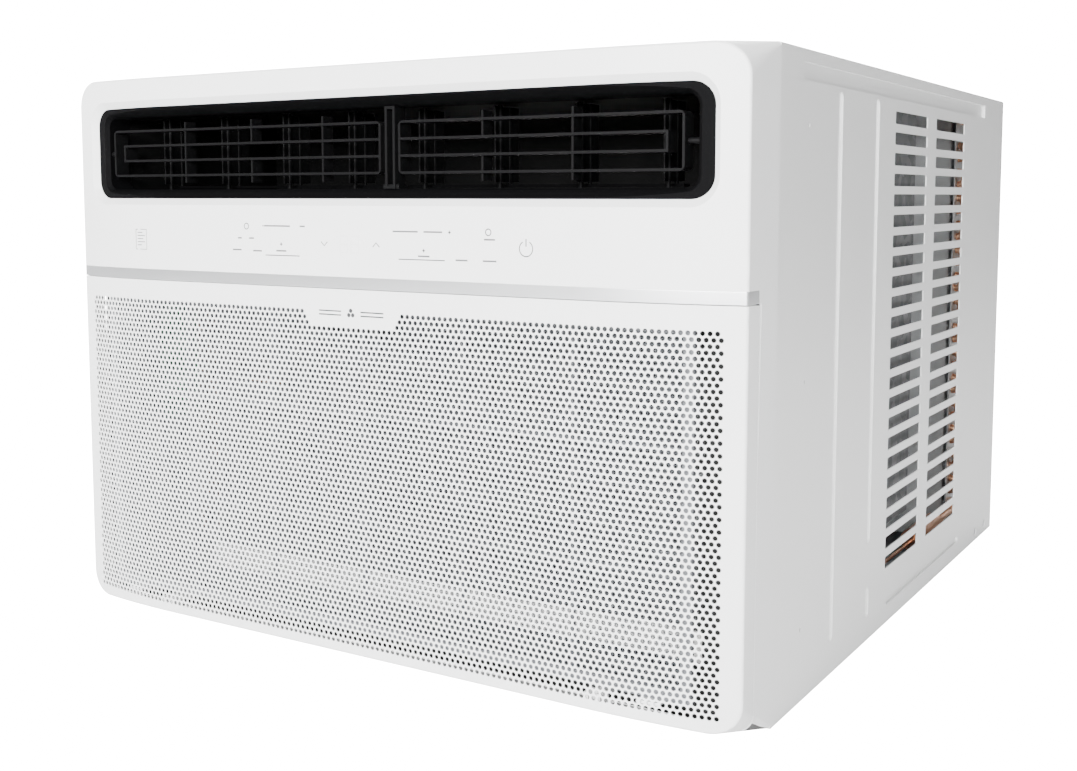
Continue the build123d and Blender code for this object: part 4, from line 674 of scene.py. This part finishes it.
# ---------------------------------------------------------------- inlet panel
@dataclass
class InletPanel(SubAssembly):
    """Hinged panel with its field of air holes, and the filter that it carries.

    Attributes:
        pitch: spacing of the holes along a row.
        row: spacing of the rows.
        holes: holes in a full row.
        lower_pairs: pairs of rows in the lower half of the field.
        upper_pairs: pairs of rows in the upper half.
        hole_radius: radius of an air hole.
        foot: height of the field's lower edge.
        skin: thickness of the panel's wall.
        sheet: thickness of the wall where it is pierced.
        tab_half: half width of the blank tab at the top middle.
        tab_slope: how much narrower the tab is one row lower.
        tab_rows: rows that the tab blanks.
        thread: thickness of the filter net's thread.
        mesh: spacing of its threads.
    """

    body: str = "inlet_panel"
    pitch: float = 4.65 * MM
    row: float = 4.03 * MM
    holes: int = 124
    lower_pairs: int = 16
    upper_pairs: int = 15
    hole_radius: float = 1.75 * MM
    foot: float = 19.5 * MM
    skin: float = 1.6 * MM
    sheet: float = 0.5 * MM
    tab_half: float = 45 * MM
    tab_slope: float = 1.6 * MM
    tab_rows: int = 3
    thread: float = 0.35 * MM
    mesh: float = 1.9 * MM

    def __post_init__(self) -> None:
        """Work out the places that follow from the frame."""
        low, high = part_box("inlet_panel")
        self.face = low.y
        self.top = high.z
        self.half = self.holes * self.pitch / 2
        self.field_top = self.foot + 2 * (self.lower_pairs + self.upper_pairs) * self.row

    def cell(self, x: float, z: float) -> Piece:
        """Make one flat cell with a round hole, facing forwards.

        Args:
            x: middle of the cell.
            z: middle of the cell.

        Returns:
            The cell.
        """
        piece = start("cell")
        place, turn = (x, self.face, z), UPRIGHT
        with editing(piece, "EDGE"):
            grid(2, 1, place, turn, (self.pitch, 1, self.row))
            bpy.ops.mesh.delete(type="ONLY_FACE")
        pick(piece, lambda co: abs(co.x - x) < TOUCH)
        middle = [e for e in piece.data.edges
                  if all(abs(piece.data.vertices[v].co.x - x) < TOUCH for v in e.vertices)]
        pick(piece, lambda co: False)
        for edge in middle:
            edge.select = True
        with editing(piece, "EDGE"):
            bpy.ops.mesh.delete(type="EDGE")
            bpy.ops.mesh.primitive_circle_add(vertices=8, radius=self.hole_radius, location=place,
                                              rotation=turn, fill_type="NOTHING")
            bpy.ops.mesh.select_all(action="SELECT")
            bpy.ops.mesh.fill(use_beauty=True)
        if piece.data.polygons[0].normal.y > 0:
            with editing(piece, "FACE"):
                bpy.ops.mesh.select_all(action="SELECT")
                bpy.ops.mesh.flip_normals()
        return piece

    def blank(self, x: float, z: float) -> Piece:
        """Make a half-width cell without a hole."""
        piece = start("blank")
        with editing(piece):
            grid(1, 1, (x, self.face, z), UPRIGHT, (self.pitch / 2, 1, self.row))
        return piece

    def in_tab(self, place: Vector) -> bool:
        """Tell whether a place lies in the blank tab at the top middle."""
        rows_down = (self.field_top - place.z) / self.row
        return rows_down < self.tab_rows and abs(place.x) < self.tab_half - self.tab_slope * rows_down

    def field(self, name: str, foot: float, pairs: int) -> Piece:
        """Make one half of the pierced field, curved and with its thickness.

        Args:
            name: name of the piece.
            foot: height of its lower edge.
            pairs: pairs of rows in it.

        Returns:
            The piece.
        """
        first, second = foot + self.row / 2, foot + 1.5 * self.row
        even = repeat(self.cell(-self.half + self.pitch / 2, first), self.holes, (self.pitch, 0, 0))
        odd = repeat(self.cell(-self.half + self.pitch, second), self.holes - 1, (self.pitch, 0, 0))
        ends = [self.blank(side * (self.half - self.pitch / 4), second) for side in (-1, 1)]
        sheet = join(name, even, odd, *ends)
        repeat(sheet, pairs, (0, 0, 2 * self.row))
        weld(sheet, 10 * TOUCH)
        pick(sheet, self.in_tab)
        with editing(sheet):
            bpy.ops.mesh.fill_holes(sides=8)
        CURVE.press(sheet)
        apply(sheet, "SOLIDIFY", thickness=self.sheet, offset=-1.0)
        smooth(sheet, 30, weighted=False)
        return self.place(sheet, PANEL_WHITE)

    def cutter(self) -> Piece:
        """Make the curved block that takes the field's place out of the panel."""
        piece = start("field_cutter")
        lead = 1 * MM
        middle = ((self.foot + self.field_top) / 2)
        with editing(piece):
            grid(120, 1, (0, self.face - lead, middle), UPRIGHT,
                 (2 * self.half, 1, self.field_top - self.foot))
        CURVE.press(piece)
        return apply(piece, "SOLIDIFY", thickness=lead + self.skin + 0.05 * MM, offset=-1.0)

    def shell(self) -> Piece:
        """Make the panel's frame round the pierced field."""
        piece = copy_of("inlet_panel", "inlet_panel_shell", 0.05)
        cutter = self.cutter()
        apply(piece, "BOOLEAN", object=cutter, operation="DIFFERENCE", solver="EXACT")
        bpy.data.objects.remove(cutter)
        smooth(piece, 28)
        return self.place(piece, PANEL_WHITE, "inlet_panel")

    def badge(self) -> Piece:
        """Make the plain ornament on the tab: a small turning-blade mark between two bars."""
        piece = start("panel_ornament")
        z = self.field_top - 0.5 * self.row
        depth = (self.face - 0.05 * MM, self.face + 0.3 * MM)
        with editing(piece):
            for side in (-1, 1):
                ends = sorted((side * 9 * MM, side * 30 * MM))
                for rise in (-1.4 * MM, 1.4 * MM):
                    block((ends[0], depth[0], z + rise - 0.5 * MM),
                          (ends[1], depth[1], z + rise + 0.5 * MM))
            for blade in range(3):
                turn = math.radians(90 + 120 * blade)
                bpy.ops.mesh.primitive_cylinder_add(
                    vertices=16, radius=1.6 * MM, depth=depth[1] - depth[0],
                    location=(2.1 * MM * math.cos(turn), sum(depth) / 2, z + 2.1 * MM * math.sin(turn)),
                    rotation=(math.pi / 2, 0, 0))
        smooth(piece, 40, weighted=False)
        return self.place(piece, MARK_INK)

    def net(self) -> Piece:
        """Make the filter's net of crossed threads."""
        low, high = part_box("filter_mesh")
        upright, level = start("filter_net"), start("level_threads")
        half = self.thread / 2
        middle = (low.y + high.y) / 2
        with editing(upright):
            block((low.x, middle - self.thread, low.z), (low.x + self.thread, middle, high.z))
        with editing(level):
            block((low.x, middle - half, low.z), (high.x, middle + half, low.z + self.thread))
        across = int((high.x - low.x - self.thread) / self.mesh)
        repeat(upright, across + 1, ((high.x - low.x - self.thread) / across, 0, 0))
        rise = int((high.z - low.z - self.thread) / self.mesh)
        repeat(level, rise + 1, (0, 0, (high.z - low.z - self.thread) / rise))
        return self.place(join("filter_net", upright, level), FILTER_NET, "filter_mesh")

    def build(self) -> None:
        """Build the panel and the filter."""
        self.shell()
        seam = self.foot + 2 * self.lower_pairs * self.row
        self.field("air_holes_lower", self.foot, self.lower_pairs)
        self.field("air_holes_upper", seam, self.upper_pairs)
        self.badge()
        self.eased("filter_frame", FILTER_PLASTIC, 0.5 * MM)
        self.net()


# ---------------------------------------------------------------- fascia
@dataclass
class Fascia(SubAssembly):
    """Moulded front with its printed controls, trim strip and screws.

    Attributes:
        proud: how far the printing stands off the surface.
        key_line: height of the row of chevrons.
        fine: half width of a thin printed stroke.
        bold: half width of a bar that stands for a label.
        digit: half width of an unlit digit's strokes.
        frame_line: half width of the rating mark's strokes.
        skin: how deep under the moulding's outside its painted shade begins.
    """

    proud: float = 0.02 * MM
    key_line: float = 317.5 * MM
    fine: float = 0.42 * MM
    bold: float = 0.665 * MM
    digit: float = 0.35 * MM
    frame_line: float = 0.4 * MM
    skin: float = 1.5 * MM

    def strokes(self, name: str, lines: list[list[tuple[float, float]]], half: float) -> Piece:
        """Turn lines drawn on the front into one thin printed piece.

        Args:
            name: name of the piece.
            lines: each line's points as x and height above the key line, in millimetres.
            half: half width of the stroke.

        Returns:
            The piece.
        """
        curve = bpy.data.curves.new(name, "CURVE")
        curve.dimensions = "3D"
        curve.bevel_depth = half
        curve.bevel_resolution = 1
        curve.use_fill_caps = True
        for points in lines:
            spline = curve.splines.new("POLY")
            spline.points.add(len(points) - 1)
            for point, (x, rise) in zip(spline.points, points):
                point.co = (x * MM, 0.0, rise * MM, 1.0)
        piece = bpy.data.objects.new(name, curve)
        bpy.context.scene.collection.objects.link(piece)
        hold(piece)
        bpy.ops.object.convert(target="MESH")
        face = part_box("inlet_panel")[0].y
        for vertex in piece.data.vertices:
            vertex.co.y = vertex.co.y * self.proud / half + face + CURVE.behind(vertex.co.x)
            vertex.co.z += self.key_line
        return piece

    @staticmethod
    def ring(x: float, rise: float, radius: float, begin: float, end: float) -> list[tuple[float, float]]:
        """Return points along part of a circle, in millimetres and degrees."""
        steps = max(4, int(abs(end - begin) / 15))
        turns = [math.radians(begin + (end - begin) * i / steps) for i in range(steps + 1)]
        return [(x + radius * math.cos(t), rise + radius * math.sin(t)) for t in turns]

    def marks(self) -> None:
        """Print the controls: power, chevrons, plain icons, and bars in place of words."""
        fine = [self.ring(150, 0, 5.2, 120, 420), [(150, 1.5), (150, 6.5)],
                [(-27, 1.6), (-24, -1.4), (-21, 1.6)], [(21, -1.4), (24, 1.6), (27, -1.4)],
                [(44, -9.5), (84, -9.5)], [(-82, -9.5), (-48, -9.5)],
                self.ring(120, 10.5, 2.2, 0, 360), self.ring(-101, 12, 2.2, 0, 360)]
        for x, rise in ((88, 10), (66, -3), (-66, -1)):
            fine += [[(x - 1.2, rise), (x + 1.2, rise)], [(x, rise - 1.2), (x, rise + 1.2)]]
        bold = [[(x - w / 2, rise), (x + w / 2, rise)] for x, rise, w in (
            (-66, -6, 10), (-90, -6.5, 9), (-111, -6, 9), (-96, 3, 5), (-108, 3, 4),
            (-70, 12.5, 26), (-45, 12.5, 5), (50, 10, 22), (74, 10, 16), (66, -7, 10),
            (98, -9, 10), (121, -9, 11), (121, 5.5, 9), (-84, 12.5, 1))]
        self.place(self.strokes("control_icons", fine, self.fine), MARK_INK)
        self.place(self.strokes("control_labels", bold, self.bold), FAINT_INK)
        digits: list[list[tuple[float, float]]] = []
        for x in (-9, 1):
            corners = [(x, -6), (x + 7, -6), (x + 7, 6), (x, 6), (x, -6)]
            digits += [corners, [(x, 0), (x + 7, 0)]]
        self.place(self.strokes("display_digits", digits, self.digit), UNLIT_DIGITS)
        rating = [[(-224, 8), (-211, 8), (-211, -8), (-224, -8), (-224, 8)]]
        rating += [[(-222, rise), (-222 + run, rise)] for rise, run in
                   ((5.5, 6), (3.0, 9), (0.5, 7), (-2.0, 9), (-4.5, 5))]
        self.place(self.strokes("rating_mark", rating, self.frame_line), FAINT_INK)

    def build(self) -> None:
        """Build the front's fixed pieces."""
        shell = copy_of("fascia", "fascia_shell", 0.05)
        smooth(shell, 28)
        panel_back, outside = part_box("inlet_panel")[1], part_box("fascia")[1]
        # Bounds of the painted shade in the recess behind the inlet panel.
        painted_shade = (panel_back.y + self.skin, panel_back.z, outside.x - self.skin)
        finish = replace(FRONT_WHITE, recess=painted_shade, title="fascia_plastic")
        self.place(shell, finish, "fascia")
        self.eased("trim_strip", TRIM_SILVER, 0.35 * MM)
        self.marks()
        self.carry(SCREW_STEEL, "fascia_screws")
        self.eased("cord_gland", DARK_PLASTIC, 0.4 * MM)
        self.carry(BOARD, "display_board")


# ---------------------------------------------------------------- outlet
@dataclass
class Outlet(SubAssembly):
    """Black outlet: bezel, two tilting louvers, centre post, vanes and their link.

    Attributes:
        vanes: number of upright vanes.
        edge: softened edge of the blades.
    """

    vanes: int = 8
    edge: float = 0.35 * MM

    def build(self) -> None:
        """Build the outlet's pieces."""
        self.eased("outlet_bezel", OUTLET_BLACK, 0.8 * MM, 3)
        self.eased("centre_post", LOUVER_BLACK, self.edge)
        for side in ("left", "right"):
            self.eased(f"louver_{side}", LOUVER_BLACK, self.edge, body=f"louver_{side}")
        for number in range(1, self.vanes + 1):
            self.eased(f"vane_{number}", LOUVER_BLACK, 0.25 * MM, body=f"vane_{number}")
        self.eased("vane_link", OUTLET_BLACK, 0.3 * MM, body="vane_link")
        self.carry(DUCT_BLACK, "discharge_duct")
        self.eased("swing_motor", DARK_PLASTIC, 0.4 * MM)


# ---------------------------------------------------------------- cabinet
@dataclass
class Cabinet(SubAssembly):
    """Steel wrap with its pressings and vents, its floor and corner screws.

    Attributes:
        press_round: rounding of the pressed beads.
    """

    press_round: float = 0.9 * MM

    def screws(self) -> Piece:
        """Give the corner screws domed heads with a cross recess."""
        piece = copy_of("cabinet_screws", "cabinet_screw_heads")
        low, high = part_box("cabinet_screws")
        ease(piece, 0.5 * MM, 3)
        recess = start("recess")
        length, width, deep = 2.3 * MM, 0.45 * MM, 0.9 * MM
        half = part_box("cabinet_screws")[1].x
        z = (low.z + high.z) / 2
        radius = (high.z - low.z) / 2
        with editing(recess):
            for y in (low.y + radius, high.y - radius):
                for x in (-half, half):
                    block((x - deep, y - length, z - width), (x + deep, y + length, z + width))
                    block((x - deep, y - width, z - length), (x + deep, y + width, z + length))
        apply(piece, "BOOLEAN", object=recess, operation="DIFFERENCE", solver="EXACT", use_self=True)
        bpy.data.objects.remove(recess)
        smooth(piece)
        return self.place(piece, SCREW_STEEL, "cabinet_screws")

    def build(self) -> None:
        """Build the cabinet."""
        wrap = copy_of("cabinet_wrap", "cabinet_wrap_shell")
        ease(wrap, self.press_round, 3, 50)
        smooth(wrap)
        self.place(wrap, CABINET_PAINT, "cabinet_wrap")
        self.carry(CABINET_PAINT, "cabinet_floor")
        self.screws()


# ---------------------------------------------------------------- coils
@dataclass
class Coil(SubAssembly):
    """Finned coil: thin pleated fins on straight tubes between two end plates.

    Attributes:
        node: the CAD block that it stands for.
        fin_pitch: spacing of the fins.
        fin: thickness of a fin.
        plate: thickness of an end plate.
        proud: how far an end plate stands out of the fins.
        rows: tube rows from bottom to top.
        tube: radius of a tube.
        pleats: folds across a fin.
    """

    node: str = "evaporator_coil"
    fin_pitch: float = 1.9 * MM
    fin: float = 0.16 * MM
    plate: float = 1.2 * MM
    proud: float = 1.5 * MM
    rows: int = 20
    tube: float = 4.0 * MM
    pleats: int = 6

    def fins(self, low: Vector, high: Vector) -> Piece:
        """Make the stack of fins between two corners."""
        piece = start(f"{self.node}_fins")
        middle = (low + high) / 2
        with editing(piece):
            grid(1, self.pleats, (low.x + self.fin, middle.y, middle.z), SIDEWAYS,
                 (1, high.y - low.y, high.z - low.z))
        fold = (high.y - low.y) / self.pleats
        for vertex in piece.data.vertices:
            step = round((vertex.co.y - low.y) / fold)
            vertex.co.x += 0.35 * MM * (step % 2)
        apply(piece, "SOLIDIFY", thickness=self.fin, offset=0.0)
        count = int((high.x - low.x - 1 * MM) / self.fin_pitch)
        return repeat(piece, count + 1, ((high.x - low.x - 1 * MM) / count, 0, 0))

    def build(self) -> None:
        """Build the coil in its block's place."""
        low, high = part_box(self.node)
        inner_low = Vector((low.x + self.plate, low.y + self.proud, low.z + 2 * MM))
        inner_high = Vector((high.x - self.plate, high.y - self.proud, high.z - 2 * MM))
        fins = self.fins(inner_low, inner_high)
        core = start(f"{self.node}_core")
        thick = inner_high.y - inner_low.y
        pitch = (inner_high.z - inner_low.z) / self.rows
        with editing(core):
            for x in (low.x, high.x - self.plate):
                block((x, low.y, low.z), (x + self.plate, high.y, high.z))
            for column in (0.25, 0.75):
                for row in range(self.rows):
                    z = inner_low.z + (row + 0.5) * pitch
                    y = inner_low.y + column * thick
                    bar(self.tube, (inner_low.x, y, z), (inner_high.x, y, z), 10)
        smooth(core, 40, weighted=False)
        self.place(fins, FIN_METAL, self.node)
        self.place(core, GALVANISED)


# ---------------------------------------------------------------- the rest of the chassis
@dataclass
class Chassis(SubAssembly):
    """Base pan, bulkhead, fans, compressor, tubes and electrics inside the cabinet."""

    def build(self) -> None:
        """Dress the chassis."""
        self.carry(GALVANISED, "base_pan", "bulkhead", "motor_bracket", "electrical_box")
        self.carry(SHADED_BAFFLE_STEEL, "side_baffle")
        self.carry(SEAL_FOAM, "bulkhead_seal")
        self.carry(COPPER, "evaporator_bends", "condenser_bends", "discharge_tube", "suction_tube",
                   "capillary_tube", "filter_drier")
        self.eased("drain_tray", WHITE_FOAM, 1.0 * MM)
        self.eased("scroll_housing", WHITE_FOAM, 1.0 * MM)
        self.carry(GREY_PLASTIC, "inlet_ring", "condenser_shroud")
        self.carry(MOTOR_PAINT, "motor_shell")
        self.carry(BRONZE, "motor_bearings")
        self.carry(SCREW_STEEL, "motor_bolts", "compressor_nuts", "motor_shaft")
        self.carry(BLACK_PAINT, "compressor", "accumulator")
        self.carry(DARK_PLASTIC, "blower_wheel", "condenser_fan")
        self.eased("terminal_cover", DARK_PLASTIC, 0.8 * MM)
        self.carry(RUBBER, "compressor_grommets", "drain_plug", "wiring_harness")
        self.carry(BOARD, "control_board")
        self.carry(CAPACITOR_CAN, "run_capacitor")
        self.carry(SENSOR, "room_thermistor")


# ---------------------------------------------------------------- studio
@dataclass
class Studio:
    """Floor, lights and camera.

    Attributes:
        floor_size: side of the floor.
        white: strength of the floor and surround as the camera sees them.
        ambient: strength of the surround as a light.
        lens: focal length of the camera in millimetres.
        eye: the camera's place, measured from the front.
        pitch: its tilt downwards.
        yaw: its turn to the left.
        drop: its vertical shift.
    """

    floor_size: float = 60.0
    white: float = 22.0
    ambient: float = 0.20
    lens: float = 43.82
    eye: Point = (0.61116, -0.73483, 0.35255)
    pitch: float = -0.09245
    yaw: float = -0.55093
    drop: float = -0.0634

    def floor(self) -> None:
        """Lay the pale floor, which shows almost white and keeps a faint contact shadow."""
        piece = start("floor")
        with editing(piece):
            bpy.ops.mesh.primitive_grid_add(x_subdivisions=4, y_subdivisions=4, size=self.floor_size)
        material = bpy.data.materials.new("studio_floor")
        material.use_nodes = True
        material.node_tree.nodes.clear()
        wires = Wiring(material.node_tree)
        matte = wires.add("BsdfDiffuse", {"Color": (0.9, 0.9, 0.9, 1.0)})
        seen = wires.add("LightPath").outputs["Is Camera Ray"]
        glow = wires.add("Emission", {"Strength": wires.maths("MULTIPLY", seen, self.white)})
        both = wires.add("AddShader", {0: matte.outputs[0], 1: glow.outputs[0]})
        wires.add("OutputMaterial", {"Surface": both.outputs[0]})
        piece.data.materials.append(material)
        piece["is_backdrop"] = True

    def panel(self, name: str, place: Point, size: float, power: float) -> None:
        """Hang one soft light that faces the object.

        Args:
            name: name of the light.
            place: where it hangs.
            size: side of its square.
            power: its power in watts.
        """
        lamp = bpy.data.lights.new(name, "AREA")
        lamp.size = size
        lamp.energy = power
        holder = bpy.data.objects.new(name, lamp)
        bpy.context.scene.collection.objects.link(holder)
        holder.location = place
        low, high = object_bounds()
        aim = (low + high) / 2 - Vector(place)
        holder.rotation_euler = aim.to_track_quat("-Z", "Y").to_euler()

    def surround(self) -> None:
        """Light the scene evenly from a pale surround that the camera sees as white."""
        world = bpy.data.worlds.new("studio")
        bpy.context.scene.world = world
        world.use_nodes = True
        world.node_tree.nodes.clear()
        wires = Wiring(world.node_tree)
        seen = wires.add("LightPath").outputs["Is Camera Ray"]
        strength = wires.between(seen, self.ambient, self.white)
        sky = wires.add("Background", {"Color": (1, 1, 1, 1), "Strength": strength})
        wires.add("OutputWorld", {"Surface": sky.outputs[0]})

    def camera(self) -> None:
        """Stand the camera to the right of the front, a little above the middle."""
        camera = bpy.data.cameras.new("camera")
        camera.lens = self.lens
        camera.sensor_width = 36.0
        camera.shift_y = self.drop
        holder = bpy.data.objects.new("camera", camera)
        bpy.context.scene.collection.objects.link(holder)
        holder.location = (self.eye[0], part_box("inlet_panel")[0].y + self.eye[1], self.eye[2])
        holder.rotation_euler = (math.pi / 2 + self.pitch, 0.0, -self.yaw)
        bpy.context.scene.camera = holder

    def build(self) -> None:
        """Set up the studio."""
        self.floor()
        self.surround()
        self.panel("key", (0.1, -3.0, 1.3), 1.5, 250)
        self.panel("side_key", (1.35, -2.6, 0.9), 0.6, 100)
        self.panel("top", (0.0, 0.2, 2.8), 1.6, 60)
        self.panel("rear", (-1.2, 3.0, 1.6), 1.8, 160)
        self.panel("left_fill", (-2.8, -0.6, 1.2), 1.6, 40)
        self.camera()


def corners() -> list[list[float]]:
    """Return the shown object's lowest and highest corner as plain lists."""
    return [list(corner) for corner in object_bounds()]


def main() -> None:
    """Build every sub-assembly, then the studio."""
    logging.basicConfig(level=logging.INFO, format="%(message)s")
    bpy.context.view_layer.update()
    for part in (InletPanel(), Fascia(), Outlet(), Cabinet(), Coil(),
                 Coil(node="condenser_coil", rows=32, tube=3.5 * MM, fin_pitch=1.8 * MM), Chassis()):
        part.build()
    Studio().build()


if __name__ == "__main__":
    main()
